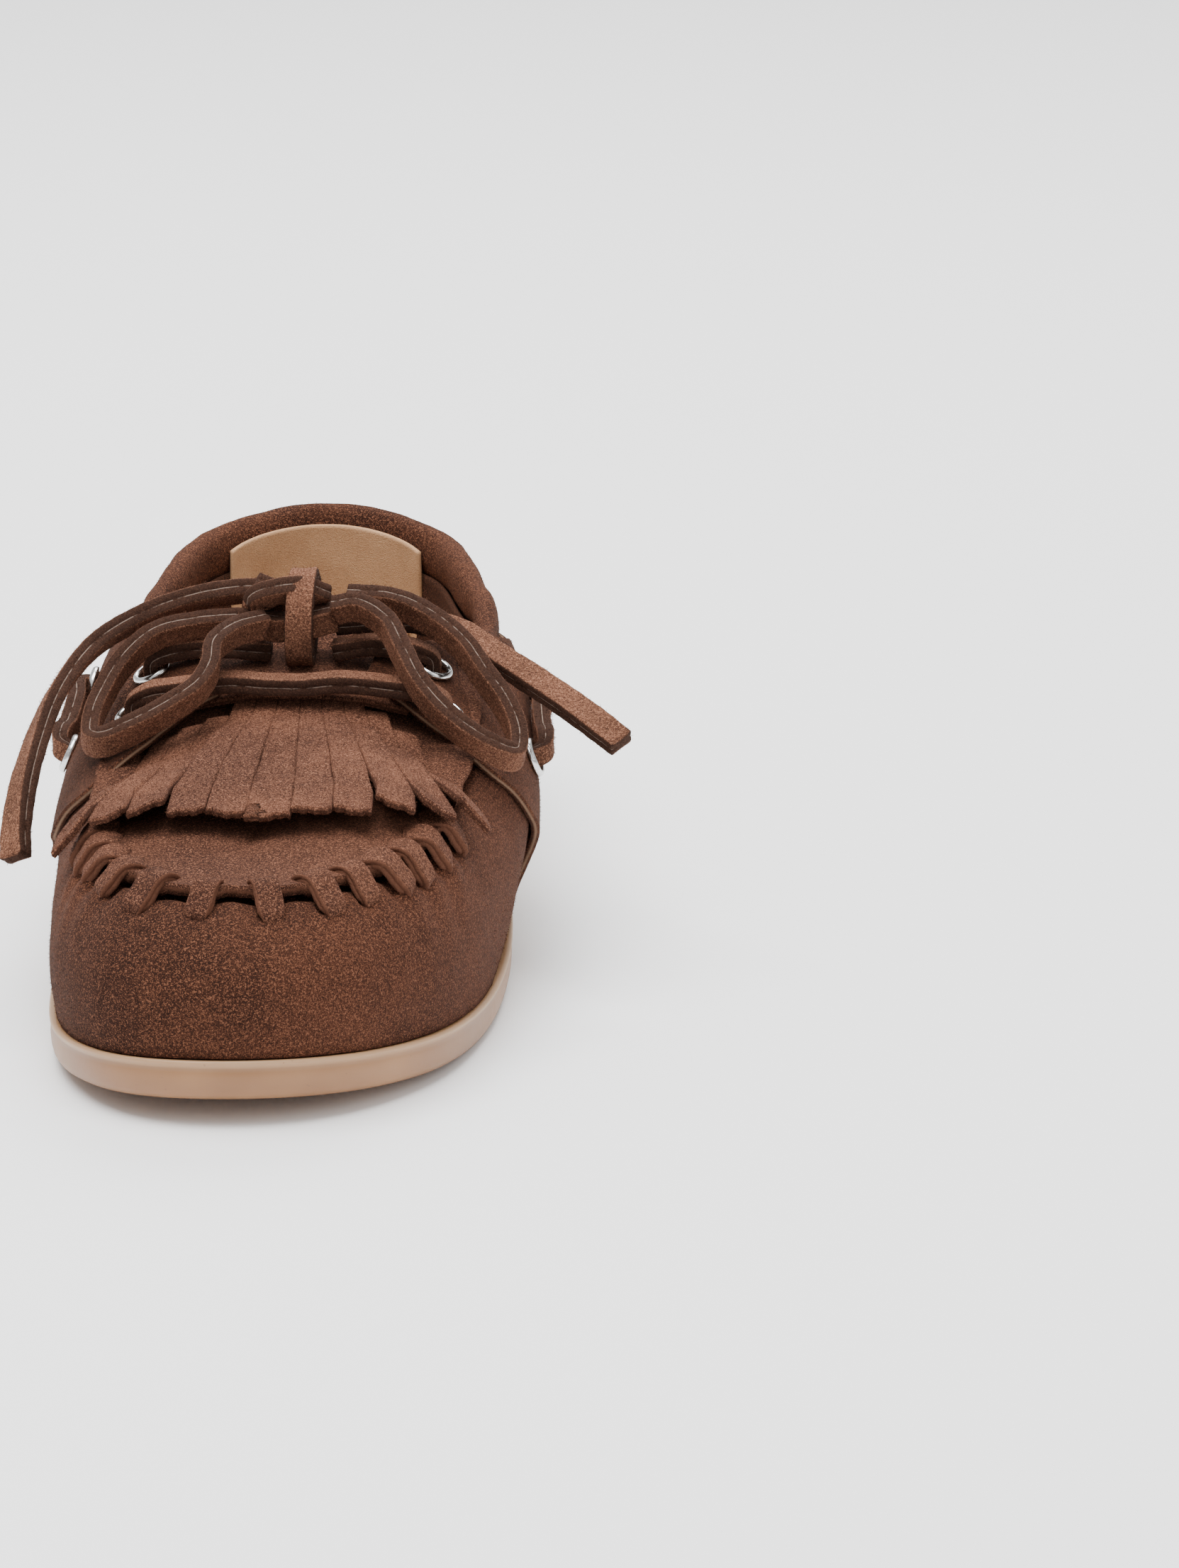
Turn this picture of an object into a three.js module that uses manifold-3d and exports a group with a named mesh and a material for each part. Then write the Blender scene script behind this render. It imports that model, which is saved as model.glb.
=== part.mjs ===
import * as THREE from 'three';
import Module from 'manifold-3d';

const wasm = await Module();
wasm.setup();

// Millimetres. +Z up, the toe points to -Y, +X is the outer (lateral) side of this left shoe.
const soleLength = 254;
const halfLength = soleLength / 2;
const fit = 0.35;
const suede = 1.6;
// Centres the box of everything but the bow's loose straps on the origin.
const centring = { x: -2.2, y: 0.2 };
const laceWidth = 5.6;
const laceThickness = 3.6;

// Outline of the sole: distance back from the toe tip, lateral edge, medial edge.
const outlineRows = [
  [0, -8, -8],
  [3.5, 9, -23],
  [14, 23.5, -34],
  [33, 36, -42],
  [60, 43.5, -45.5],
  [92, 46.5, -46],
  [128, 45.5, -44],
  [164, 42, -40.5],
  [203, 36.5, -35.8],
  [237.5, 28, -27.5],
  [252, 0, 0],
];
const lateralSide = outlineRows.map(([back, x]) => [x, back]);
const medialSide = outlineRows.slice(1, -1).reverse().map(([back, , x]) => [x, back]);
const outline = [...lateralSide, ...medialSide];

// Crest of the instep: distance back from the toe, sideways shift, height.
const crest = {
  back: [44, 70, 100, 125, 165, 205],
  x: [-3, 0, 1, 1, 0, 0],
  z: [46, 52, 59, 66, 92, 120],
};

const paint = {
  suedeDark: { color: 0x5d3c2b, roughness: 0.95, metalness: 0 },
  suedeFringe: { color: 0x6f4835, roughness: 0.95, metalness: 0 },
  lace: { color: 0x6b4837, roughness: 0.95, metalness: 0 },
  lining: { color: 0x4b3226, roughness: 0.9, metalness: 0 },
  tan: { color: 0xab8358, roughness: 0.8, metalness: 0 },
  gum: { color: 0xb28c6c, roughness: 0.45, metalness: 0 },
  board: { color: 0x9a8466, roughness: 0.9, metalness: 0 },
  foam: { color: 0xd8cfba, roughness: 0.95, metalness: 0 },
  steel: { color: 0xc9cacc, roughness: 0.25, metalness: 1 },
};

const shoe = new THREE.Group();
shoe.name = 'moccasin';

const lerp = (a, b, f) => a + (b - a) * f;

function smooth(from, to, value) {
  const f = Math.min(Math.max((value - from) / (to - from), 0), 1);
  return f * f * (3 - 2 * f);
}

function between(keys, values, at) {
  let i = 0;
  while (i < keys.length - 2 && at > keys[i + 1]) i += 1;
  const f = Math.min(Math.max((at - keys[i]) / (keys[i + 1] - keys[i]), 0), 1);
  return lerp(values[i], values[i + 1], f);
}

// Position along a hand-chosen list of rows, spread evenly from 0 to 1.
function along(list, f) {
  const place = Math.min(Math.max(f, 0), 1) * (list.length - 1);
  const i = Math.min(Math.floor(place), list.length - 2);
  return list[i].map((value, k) => lerp(value, list[i + 1][k], place - i));
}

function outlineAt(u) {
  const count = outline.length;
  const place = (((u % 1) + 1) % 1) * count;
  const i = Math.floor(place);
  const f = place - i;
  const [a, b, c, d] = [-1, 0, 1, 2].map((k) => outline[(i + k + count) % count]);
  return [0, 1].map((k) => 0.5 * (
    2 * b[k] + (c[k] - a[k]) * f
    + (2 * a[k] - 5 * b[k] + 4 * c[k] - d[k]) * f * f
    + (3 * b[k] - a[k] - 3 * c[k] + d[k]) * f * f * f
  ));
}

// Outline point, distance back and outward direction.
function edgeAt(u, inset) {
  const step = 0.001;
  const [x, back] = outlineAt(u);
  const ahead = outlineAt(u + step);
  const behind = outlineAt(u - step);
  const run = [ahead[0] - behind[0], ahead[1] - behind[1]];
  const size = Math.hypot(run[0], run[1]);
  const out = [run[1] / size, -run[0] / size];
  return { x: x - out[0] * inset, back: back - out[1] * inset, out, row: back };
}

const toeSpring = (back) => 6 * Math.max((65 - back) / 65, 0) ** 1.6;
const soleTop = (back) => toeSpring(back) + 8 + 4 * smooth(90, 180, back);

// The upper's outer face: u runs round the sole, tilt from 0 at the feather edge to 90 at the crest.
function upperFace(u, tilt) {
  const edge = edgeAt(u, 1);
  const phi = (tilt * Math.PI) / 180;
  const crestBack = 44 + 0.64 * edge.row;
  const crestX = between(crest.back, crest.x, crestBack);
  const crestZ = between(crest.back, crest.z, crestBack);
  const foot = soleTop(edge.row) + fit;
  const power = between([0, 50, 110, 160, 200, 252], [0.8, 0.84, 0.88, 0.88, 0.9, 0.9], edge.row);
  const inward = 1 - Math.max(Math.cos(phi), 0) ** power;
  const upward = Math.sin(phi) ** power;
  const waist = smooth(60, 120, edge.row) * (1 - smooth(170, 235, edge.row));
  const fullness = 4 + waist * (edge.x > 0 ? 6.5 : 3.5);
  const bulge = fullness * Math.sin(Math.min(phi * 2.2, Math.PI));
  return new THREE.Vector3(
    edge.x + (crestX - edge.x) * inward + edge.out[0] * bulge,
    edge.back + (crestBack - edge.back) * inward + edge.out[1] * bulge - halfLength,
    foot + (crestZ - foot) * upward,
  );
}

function upperNormal(u, tilt) {
  const level = Math.min(Math.max(tilt, 0.3), 88);
  const along1 = upperFace(u + 0.001, level).sub(upperFace(u - 0.001, level));
  const up = upperFace(u, level + 0.2).sub(upperFace(u, level - 0.2));
  return along1.cross(up).normalize();
}

function upper(u, tilt, offset) {
  return upperFace(u, tilt).addScaledVector(upperNormal(u, tilt), offset);
}

// The place on the upper under a point seen from above.
function placeOn(x, y) {
  const side = x >= between(crest.back, crest.x, y + halfLength) ? 1 : -1;
  const tiltFor = (u) => {
    let low = 22;
    let high = 90;
    for (let i = 0; i < 22; i += 1) {
      const middle = (low + high) / 2;
      if (upperFace(u, middle).x * side > x * side) low = middle;
      else high = middle;
    }
    return (low + high) / 2;
  };
  let near = 0.004;
  let far = 0.44;
  for (let i = 0; i < 22; i += 1) {
    const middle = (near + far) / 2;
    if (upperFace(middle * side, tiltFor(middle * side)).y < y) near = middle;
    else far = middle;
  }
  const u = ((near + far) / 2) * side;
  return { u, tilt: tiltFor(u) };
}

function over(x, y, offset) {
  const spot = placeOn(x, y);
  return upper(spot.u, spot.tilt, offset);
}

// Gathers faces into one closed body, merging points that meet.
class Body {
  constructor() {
    this.points = [];
    this.keys = new Map();
    this.faces = [];
  }

  point(p) {
    const key = [p.x, p.y, p.z].map((value) => Math.round(value * 2000)).join();
    if (!this.keys.has(key)) {
      this.keys.set(key, this.points.length);
      this.points.push(p);
    }
    return this.keys.get(key);
  }

  triangle(a, b, c) {
    const ids = [a, b, c].map((p) => this.point(p));
    if (new Set(ids).size === 3) this.faces.push(ids);
  }

  quad(a, b, c, d) {
    this.triangle(a, b, c);
    this.triangle(a, c, d);
  }

  geometry() {
    let volume = 0;
    for (const [a, b, c] of this.faces) {
      volume += this.points[a].dot(this.points[b].clone().cross(this.points[c]));
    }
    const faces = volume < 0 ? this.faces.map(([a, b, c]) => [a, c, b]) : this.faces;
    const geometry = new THREE.BufferGeometry();
    const flat = this.points.flatMap((p) => [p.x, p.y, p.z]);
    geometry.setAttribute('position', new THREE.Float32BufferAttribute(flat, 3));
    geometry.setIndex(faces.flat());
    return geometry;
  }
}

function addNode(name, geometry, look) {
  geometry.deleteAttribute('uv');
  geometry.translate(centring.x, centring.y, 0);
  geometry.computeVertexNormals();
  const mesh = new THREE.Mesh(geometry, new THREE.MeshStandardMaterial(look));
  mesh.name = name;
  shoe.add(mesh);
  return mesh;
}

// A sheet between an outer and an inner grid; seamTop leaves out the wall where a fold closes itself.
function slab(columns, rows, outer, inner, { ring = false, seamTop = false } = {}) {
  const body = new Body();
  const grid = (face) => Array.from({ length: columns + 1 }, (_, i) => (
    Array.from({ length: rows + 1 }, (__, j) => face(i / columns, j / rows))));
  const top = grid(outer);
  const low = grid(inner);
  if (ring) {
    top[columns] = top[0];
    low[columns] = low[0];
  }
  for (let i = 0; i < columns; i += 1) {
    for (let j = 0; j < rows; j += 1) {
      body.quad(top[i][j], top[i + 1][j], top[i + 1][j + 1], top[i][j + 1]);
      body.quad(low[i][j], low[i][j + 1], low[i + 1][j + 1], low[i + 1][j]);
    }
    body.quad(low[i][0], low[i + 1][0], top[i + 1][0], top[i][0]);
    if (!seamTop) body.quad(top[i][rows], top[i + 1][rows], low[i + 1][rows], low[i][rows]);
  }
  for (let j = 0; j < rows && !ring; j += 1) {
    body.quad(top[0][j], top[0][j + 1], low[0][j + 1], low[0][j]);
    body.quad(low[columns][j], low[columns][j + 1], top[columns][j + 1], top[columns][j]);
  }
  return body.geometry();
}

// A sheet of the upper from one height line to another.
function panel(columns, rows, from, to, lowLine, highLine, outerOffset, innerOffset) {
  const face = (offset) => (s, v) => {
    const u = lerp(from, to, s);
    const tilt = lerp(lowLine(u), highLine(u), v);
    return upper(u, tilt, typeof offset === 'function' ? offset(u, tilt) : offset);
  };
  return slab(columns, rows, face(outerOffset), face(innerOffset));
}

// A strap or roll: rings of section points about each stop of a route, with flat ends.
function loft(stops, sides, roundness) {
  const rings = stops.map(({ at, wide, thick, halfWidth, halfThickness }) => (
    Array.from({ length: sides }, (_, k) => {
      const angle = ((k + 0.5) / sides) * Math.PI * 2;
      const c = Math.cos(angle);
      const s = Math.sin(angle);
      return at.clone()
        .addScaledVector(wide, Math.sign(c) * Math.abs(c) ** roundness * halfWidth)
        .addScaledVector(thick, Math.sign(s) * Math.abs(s) ** roundness * halfThickness);
    })));
  const body = new Body();
  for (let i = 0; i < rings.length - 1; i += 1) {
    for (let k = 0; k < sides; k += 1) {
      const next = (k + 1) % sides;
      body.quad(rings[i][k], rings[i][next], rings[i + 1][next], rings[i + 1][k]);
    }
  }
  for (const end of [rings[0], rings[rings.length - 1]]) {
    const middle = end.reduce((sum, p) => sum.add(p), new THREE.Vector3()).divideScalar(sides);
    const first = end === rings[0];
    for (let k = 0; k < sides; k += 1) {
      const next = (k + 1) % sides;
      if (first) body.triangle(middle, end[next], end[k]);
      else body.triangle(middle, end[k], end[next]);
    }
  }
  return body.geometry();
}

// A flat suede strap along a smooth route. Each stop: point, width direction, half width, half thickness.
function strap(stops, steps) {
  const curve = new THREE.CatmullRomCurve3(stops.map((stop) => stop.at), false, 'centripetal');
  const sections = [];
  for (let i = 0; i <= steps; i += 1) {
    const f = i / steps;
    const place = Math.min(f * (stops.length - 1), stops.length - 1 - 1e-9);
    const k = Math.floor(place);
    const rest = place - k;
    const heading = curve.getTangent(f);
    const wide = stops[k].wide.clone().lerp(stops[k + 1].wide, rest);
    wide.addScaledVector(heading, -wide.dot(heading)).normalize();
    sections.push({
      at: curve.getPoint(f),
      wide,
      thick: heading.clone().cross(wide).normalize(),
      halfWidth: lerp(stops[k].halfWidth, stops[k + 1].halfWidth, rest),
      halfThickness: lerp(stops[k].halfThickness, stops[k + 1].halfThickness, rest),
    });
  }
  return loft(sections, 8, 0.6);
}

function toManifold(geometry) {
  const index = geometry.index ? geometry.index.array : null;
  const source = geometry.attributes.position;
  const body = new Body();
  const count = index ? index.length : source.count;
  for (let i = 0; i < count; i += 3) {
    const corner = [0, 1, 2].map((k) => (
      new THREE.Vector3().fromBufferAttribute(source, index ? index[i + k] : i + k)));
    body.triangle(...corner);
  }
  return new wasm.Manifold(new wasm.Mesh({
    numProp: 3,
    vertProperties: new Float32Array(body.points.flatMap((p) => [p.x, p.y, p.z])),
    triVerts: new Uint32Array(body.faces.flat()),
  }));
}

function fromManifold(solid) {
  const mesh = solid.getMesh();
  const geometry = new THREE.BufferGeometry();
  geometry.setAttribute('position', new THREE.Float32BufferAttribute(mesh.vertProperties, 3));
  geometry.setIndex(Array.from(mesh.triVerts));
  return geometry;
}

function cut(geometry, cutters) {
  let solid = toManifold(geometry);
  for (const cutter of cutters) solid = solid.subtract(toManifold(cutter));
  return fromManifold(solid);
}

// Turns an upright lathe or cylinder so that it stands on the upper.
function standOn(geometry, u, tilt, offset) {
  const upright = new THREE.Matrix4().makeRotationX(Math.PI / 2);
  const turn = new THREE.Quaternion().setFromUnitVectors(
    new THREE.Vector3(0, 0, 1),
    upperNormal(u, tilt),
  );
  const place = upper(u, tilt, offset);
  geometry.applyMatrix4(upright);
  geometry.applyQuaternion(turn);
  geometry.translate(place.x, place.y, place.z);
  return geometry;
}

// ---- Bottom: sole, board, foam, sock ----

const soleColumns = 48;

// Closed slab of the sole's shape; rings of inset and height, folded shut along the middle line.
function solePlate(rings, name, look) {
  const body = new Body();
  const lines = rings.map(([inset, height]) => (
    Array.from({ length: soleColumns }, (_, i) => {
      const edge = edgeAt(i / soleColumns, inset);
      return new THREE.Vector3(edge.x, edge.back - halfLength, height(edge.back));
    })));
  for (let r = 0; r < lines.length - 1; r += 1) {
    for (let i = 0; i < soleColumns; i += 1) {
      const next = (i + 1) % soleColumns;
      body.quad(lines[r][i], lines[r][next], lines[r + 1][next], lines[r + 1][i]);
    }
  }
  for (const line of [lines[0], lines[lines.length - 1]]) {
    const first = line === lines[0];
    for (let i = 0; i < soleColumns / 2; i += 1) {
      const other = (soleColumns - i) % soleColumns;
      const corners = [line[i], line[i + 1], line[(other + soleColumns - 1) % soleColumns], line[other]];
      if (first) corners.reverse();
      body.quad(...corners);
    }
  }
  addNode(name, body.geometry(), look);
}

solePlate([
  [9, toeSpring],
  [2.6, toeSpring],
  [0.9, (back) => toeSpring(back) + 0.7],
  [0, (back) => toeSpring(back) + 2.6],
  [0, (back) => soleTop(back) - 1.2],
  [1, soleTop],
  [9, soleTop],
], 'outsole', paint.gum);

const layers = [
  ['insole_board', 1.5, paint.board],
  ['insole_foam', 3.6, paint.foam],
  ['sock_lining', 1, paint.tan],
];
let stack = fit;
for (const [name, thickness, look] of layers) {
  const base = stack;
  solePlate([
    [11, (back) => soleTop(back) + base],
    [8.6, (back) => soleTop(back) + base],
    [8.6, (back) => soleTop(back) + base + thickness],
    [11, (back) => soleTop(back) + base + thickness],
  ], name, look);
  stack += thickness + fit;
}

// ---- Toe: vamp, puff, lining, apron with its tongue, thong seam ----

const seamTilt = (u) => between([0, 0.05, 0.1, 0.15, 0.2, 0.25, 0.32], [61, 58, 55, 50, 47, 50, 58], Math.abs(u));
const vampReach = { low: 0.31, high: 0.27 };
const zero = () => 0;
const apronDrop = (u) => -3.4 * smooth(30, 80, edgeAt(u, 0).row);

// Places of the whipstitches round the seam, 10.5 to 11.5 mm apart in front and 7.5 to 10 mm at the sides.
const stitchPlaces = [
  -0.172, -0.156, -0.137, -0.112, -0.072, -0.02, 0.033, 0.076, 0.106, 0.129, 0.149, 0.168, 0.188,
];
const stitchSpread = 4.2;
const threadRadius = 1;

function seamStops() {
  const stops = [];
  for (const u of stitchPlaces) {
    const below = seamTilt(u) - stitchSpread;
    const above = seamTilt(u) + stitchSpread;
    stops.push(upper(u, below, -suede - 1.5));
    stops.push(upper(u, below, 2.1));
    stops.push(upper(u, above, 2 + apronDrop(u)));
    stops.push(upper(u, above, apronDrop(u) - suede - 2));
  }
  return stops;
}

// Passes exactly through its stops when it is sampled one step per stop.
class StopCurve extends THREE.CatmullRomCurve3 {
  getUtoTmapping(u) {
    return u;
  }
}

function thread(stops, radius) {
  const curve = new StopCurve(stops, false, 'centripetal');
  const section = new THREE.Shape(Array.from({ length: 8 }, (_, k) => {
    const angle = (k / 8) * Math.PI * 2;
    return new THREE.Vector2(Math.cos(angle) * radius, Math.sin(angle) * radius);
  }));
  return new THREE.ExtrudeGeometry(section, { steps: stops.length - 1, extrudePath: curve });
}

function seamHoles(above, depth) {
  const holes = [];
  for (const u of stitchPlaces) {
    const tilt = seamTilt(u) + (above ? stitchSpread : -stitchSpread);
    holes.push(standOn(new THREE.CylinderGeometry(1.75, 1.75, 6, 7), u, tilt, depth(u)));
  }
  return holes;
}

addNode('whipstitch_thong', thread(seamStops(), threadRadius), paint.lace);

// The vamp runs further back along the sole than it does at the height of the side eyelets.
const vampFace = (offset) => (s, v) => {
  const reach = lerp(vampReach.low, vampReach.high, smooth(0.2, 0.45, v));
  const u = lerp(-reach, reach, s);
  const tuck = 0.16 * smooth(0.18, 0.22, Math.abs(u));
  return upper(u, lerp(0, seamTilt(u) - 0.5, v), offset - tuck);
};
const vamp = slab(38, 8, vampFace(0), vampFace(-suede));
addNode('vamp', cut(vamp, seamHoles(false, () => -suede / 2)), paint.suedeDark);
addNode('toe_puff', panel(20, 4, -0.14, 0.14, () => 2, (u) => seamTilt(u) - 12, -1.95, -2.75), paint.board);
addNode('vamp_lining', panel(32, 5, -vampReach.high, vampReach.high, () => 2, (u) => seamTilt(u) - 10, -3.1, -4.1), paint.lining);

const tongueReach = 0.31;
const apronColumns = 36;
const apronFace = (depth) => (s, v) => {
  const u = lerp(-tongueReach, tongueReach, s);
  const ridge = v === 1;
  const at = ridge ? Math.abs(u) : u;
  return upper(at, lerp(seamTilt(u) + 0.9, 90, v), apronDrop(u) - depth);
};
const apron = slab(apronColumns, 5, apronFace(0), apronFace(suede), { seamTop: true });
addNode('apron_and_tongue', cut(apron, seamHoles(true, (u) => apronDrop(u) - suede / 2)), paint.suedeDark);

// ---- Sides and heel ----

const lateralFront = [[0.3, 0], [0.288, 12], [0.262, 27], [0.246, 45], [0.249, 62], [0.268, 76]];
const medialFront = [[0.296, 0], [0.278, 12], [0.245, 27], [0.224, 45], [0.231, 62], [0.255, 76]];
const toplineU = [0.268, 0.29, 0.297, 0.315, 0.335, 0.352, 0.37, 0.4, 0.45, 0.497];
const toplineTilt = [76, 74.5, 72, 57, 44, 36, 29, 22.5, 19.5, 19.5];
const toplineAt = [0, 0.1, 0.14, 0.24, 0.34, 0.42, 0.5, 0.62, 0.8, 1];
const topline = (u) => between(toplineU, toplineTilt, u > 0.5 ? 1 - u : u);
const quarterBack = 0.497;
const heelTilt = 19.5;
const facing = 1.95;

function quarterLift(u) {
  return facing * (1 - smooth(150, 172, edgeAt(u, 0).row));
}

// Blends the four edges of a quarter into one patch of (u, tilt).
function quarterPatch(front, side) {
  const [startU] = front[0];
  const [throatU, throatTilt] = front[front.length - 1];
  const top = (s) => [
    Math.max(between(toplineAt, toplineU, s), throatU),
    between(toplineAt, toplineTilt, s),
  ];
  return (offset) => (s, v) => {
    const bottomEdge = [lerp(startU, quarterBack, s), 0];
    const topEdge = top(s);
    const shift = throatU - toplineU[0];
    topEdge[0] += Math.min(shift, 0) * (1 - smooth(0, 0.2, s));
    const frontEdge = along(front, v);
    const backEdge = [quarterBack, heelTilt * v];
    const [u, tilt] = [0, 1].map((k) => {
      const corners = lerp(
        lerp([startU, 0][k], [quarterBack, 0][k], s),
        lerp([throatU, throatTilt][k], [quarterBack, heelTilt][k], s),
        v,
      );
      return lerp(bottomEdge[k], topEdge[k], v) + lerp(frontEdge[k], backEdge[k], s) - corners;
    });
    return upper(u * side, tilt, quarterLift(u) + offset);
  };
}

const rimRadius = 4.4;
const boreRadius = 3;
const barrelRadius = 3.4;
const holeRadius = 3.9;

// Throat eyelets by position seen from above, side eyelets by place on the upper.
const throatEyelets = [
  ['eyelet_lateral_front', 32, -24],
  ['eyelet_lateral_rear', 29, -7.4],
  ['eyelet_medial_front', -30.5, -24],
  ['eyelet_medial_rear', -28, -7.4],
].map(([name, x, y]) => ({ name, ...placeOn(x, y) }));
const sideEyelets = [
  { name: 'eyelet_lateral_side_front', u: 0.285, tilt: 34 },
  { name: 'eyelet_lateral_side_rear', u: 0.335, tilt: 31 },
  { name: 'eyelet_medial_side_front', u: -0.285, tilt: 34 },
  { name: 'eyelet_medial_side_rear', u: -0.335, tilt: 31 },
];
const eyelets = [...throatEyelets, ...sideEyelets];

function eyeletRing(u, tilt) {
  const below = -suede - 0.7;
  const profile = [
    [boreRadius, below - 0.5],
    [rimRadius - 0.5, below - 0.5],
    [rimRadius - 0.5, below],
    [barrelRadius, below],
    [barrelRadius, 0.7],
    [rimRadius, 0.7],
    [rimRadius - 0.6, 1.2],
    [boreRadius, 1.1],
    [boreRadius, below - 0.5],
  ].map(([r, y]) => new THREE.Vector2(r, y));
  return standOn(new THREE.LatheGeometry(profile, 12), u, tilt, quarterLift(Math.abs(u)));
}

for (const { name, u, tilt } of eyelets) addNode(name, eyeletRing(u, tilt), paint.steel);

const drillFor = ({ u, tilt }) => (
  standOn(new THREE.CylinderGeometry(holeRadius, holeRadius, 9, 12), u, tilt, 0));

for (const [name, front, side] of [['quarter_lateral', lateralFront, 1], ['quarter_medial', medialFront, -1]]) {
  const face = quarterPatch(front, side);
  const sheet = slab(18, 8, face(0), face(-suede));
  const drills = eyelets.filter(({ u }) => u * side > 0).map(drillFor);
  addNode(name, cut(sheet, drills), paint.suedeDark);
}

addNode('backstay', panel(4, 6, 0.485, 0.515, zero, (u) => topline(u) - 0.4, 1.7, fit), paint.suedeDark);
addNode('heel_counter', panel(18, 3, 0.4, 0.6, () => 1.5, () => 10.5, -2.3, -3.2), paint.board);

const liningTop = (u) => Math.min(topline(u), 44);
const liningFrom = 0.268;
const liningTo = 0.455;
addNode('side_lining_lateral', panel(18, 4, liningFrom, liningTo, () => 3, liningTop, -5.2, -6.2), paint.lining);
addNode('side_lining_medial', panel(18, 4, 1 - liningFrom, 1 - liningTo, () => 3, liningTop, -5.2, -6.2), paint.lining);

// The heel lining runs up the inside of the heel and on over the inner face of the collar.
const heelLiningRise = 10.5;
const heelLiningBend = 0.6;
const riseAt = (u) => {
  const tilt = topline(u);
  return upperFace(u, tilt + 0.5).sub(upperFace(u, tilt - 0.5)).normalize();
};
const heelLiningFace = (depth) => (s, v) => {
  const u = lerp(liningTo + 0.003, 1 - liningTo - 0.003, s);
  const low = Math.min(v / heelLiningBend, 1);
  const high = Math.max((v - heelLiningBend) / (1 - heelLiningBend), 0);
  return upper(u, lerp(3, topline(u), low), -depth).addScaledVector(riseAt(u), high * heelLiningRise);
};
addNode('heel_lining', slab(10, 10, heelLiningFace(6.4), heelLiningFace(7.4)), paint.tan);
addNode('heel_grip', panel(8, 4, 0.46, 0.54, () => 5.5, (u) => 14.5 - 900 * (u - 0.5) ** 2, -7.75, -8.6), paint.tan);

// Padded collar roll along the topline.
const collarFrom = 0.362;
const collarHalfHeight = 6.2;
const collarHalfThickness = 3.6;
const collarStops = Array.from({ length: 33 }, (_, i) => {
  const u = lerp(collarFrom, 1 - collarFrom, i / 32);
  const tilt = topline(u);
  const rise = riseAt(u);
  const out = upperNormal(u, tilt);
  const taper = lerp(0.55, 1, Math.sin((Math.PI * i) / 32));
  return {
    at: upper(u, tilt, -2.2).addScaledVector(rise, collarHalfHeight * taper + 0.8),
    wide: rise,
    thick: out,
    halfWidth: collarHalfHeight * taper,
    halfThickness: collarHalfThickness * taper,
  };
});
addNode('collar_roll', loft(collarStops, 12, 0.8), paint.suedeDark);

// ---- Kiltie: a fringed flap whose strips lift ----

const fringeTop = { back: 123, half: 19 };
const fringeEnd = { back: 55, half: 40 };
// How far back each strip's fold line lies, medial side first.
const foldBack = [80, 82, 84, 95, 97, 97, 97, 97, 95, 88, 82];
const stripCount = foldBack.length;
const fringeReach = 42;
const fringeBend = 49;
const endBack = (w) => fringeReach + (w < 0 ? 9 : 22) * w * w;
const kiltieUnder = -2.8;
const kiltieThick = 1.2;
const stripClear = 4.6;
const sideClear = 2.6;

// Point of the flap: w across, distance back from the toe, height in the sheet, share of the rise.
function flapPoint(w, back, height, reach) {
  const f = (fringeTop.back - back) / (fringeTop.back - fringeEnd.back);
  const x = w * lerp(fringeTop.half, fringeEnd.half, Math.min(f, 1)) + 0.6;
  const lift = new THREE.Vector3(0.85 * w, -0.15, 1).normalize();
  const free = Math.max(fringeBend - back, 0);
  const lying = over(x, back + free - halfLength, kiltieUnder + height);
  const ahead = lying.clone().sub(over(x, back + free + 2 - halfLength, kiltieUnder + height)).normalize();
  return lying.addScaledVector(ahead, free)
    .addScaledVector(lift, (stripClear - kiltieUnder + sideClear * Math.abs(w) ** 3) * reach ** 0.7);
}

const baseFace = (height) => (s, v) => {
  const place = Math.round(s * stripCount);
  const left = foldBack[Math.max(place - 1, 0)];
  const right = foldBack[Math.min(place, stripCount - 1)];
  const front = Math.max(left, right) + 0.8;
  return flapPoint(lerp(-1, 1, s), lerp(front, fringeTop.back, v), height, 0);
};
addNode('kiltie_base', slab(stripCount, 4, baseFace(kiltieThick), baseFace(0)), paint.suedeFringe);

for (let k = 0; k < stripCount; k += 1) {
  const pitch = 2 / stripCount;
  const from = -1 + k * pitch + 0.012;
  const to = -1 + (k + 1) * pitch - 0.012;
  const middle = (from + to) / 2;
  const face = (height) => (s, v) => {
    const w = lerp(from, to, s);
    const end = endBack(middle);
    return flapPoint(w, lerp(foldBack[k], end, v), height, v);
  };
  const name = `kiltie_strip_${String(k + 1).padStart(2, '0')}`;
  addNode(name, slab(2, 5, face(kiltieThick), face(0)), paint.suedeFringe);
}

// ---- Laces ----

const fullStrap = { halfWidth: laceWidth / 2, halfThickness: laceThickness / 2 };
const slimStrap = { halfWidth: 2.4, halfThickness: 1.15 };
const boreStrap = { halfWidth: 2, halfThickness: 1.5 };

// Stops that take a strap down or up through an eyelet; heading is the way it travels over the surface.
function throughEyelet({ u, tilt }, heading, wide, inward) {
  const lift = quarterLift(Math.abs(u));
  const normal = upperNormal(u, tilt);
  const centre = upper(u, tilt, 0);
  const flat = heading.clone().addScaledVector(normal, -heading.dot(normal)).normalize();
  const stop = (run, offset, size) => ({
    at: centre.clone().addScaledVector(flat, run).addScaledVector(normal, offset),
    wide,
    ...size,
  });
  const stops = [
    stop(-5.6, lift + 3.2, fullStrap),
    stop(-1.3, lift + 2.9, boreStrap),
    stop(0, lift + 0.7, boreStrap),
    stop(0, lift - 1.9, boreStrap),
    stop(1.3, lift - 4.1, slimStrap),
  ];
  return inward ? stops : stops.reverse();
}

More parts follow.
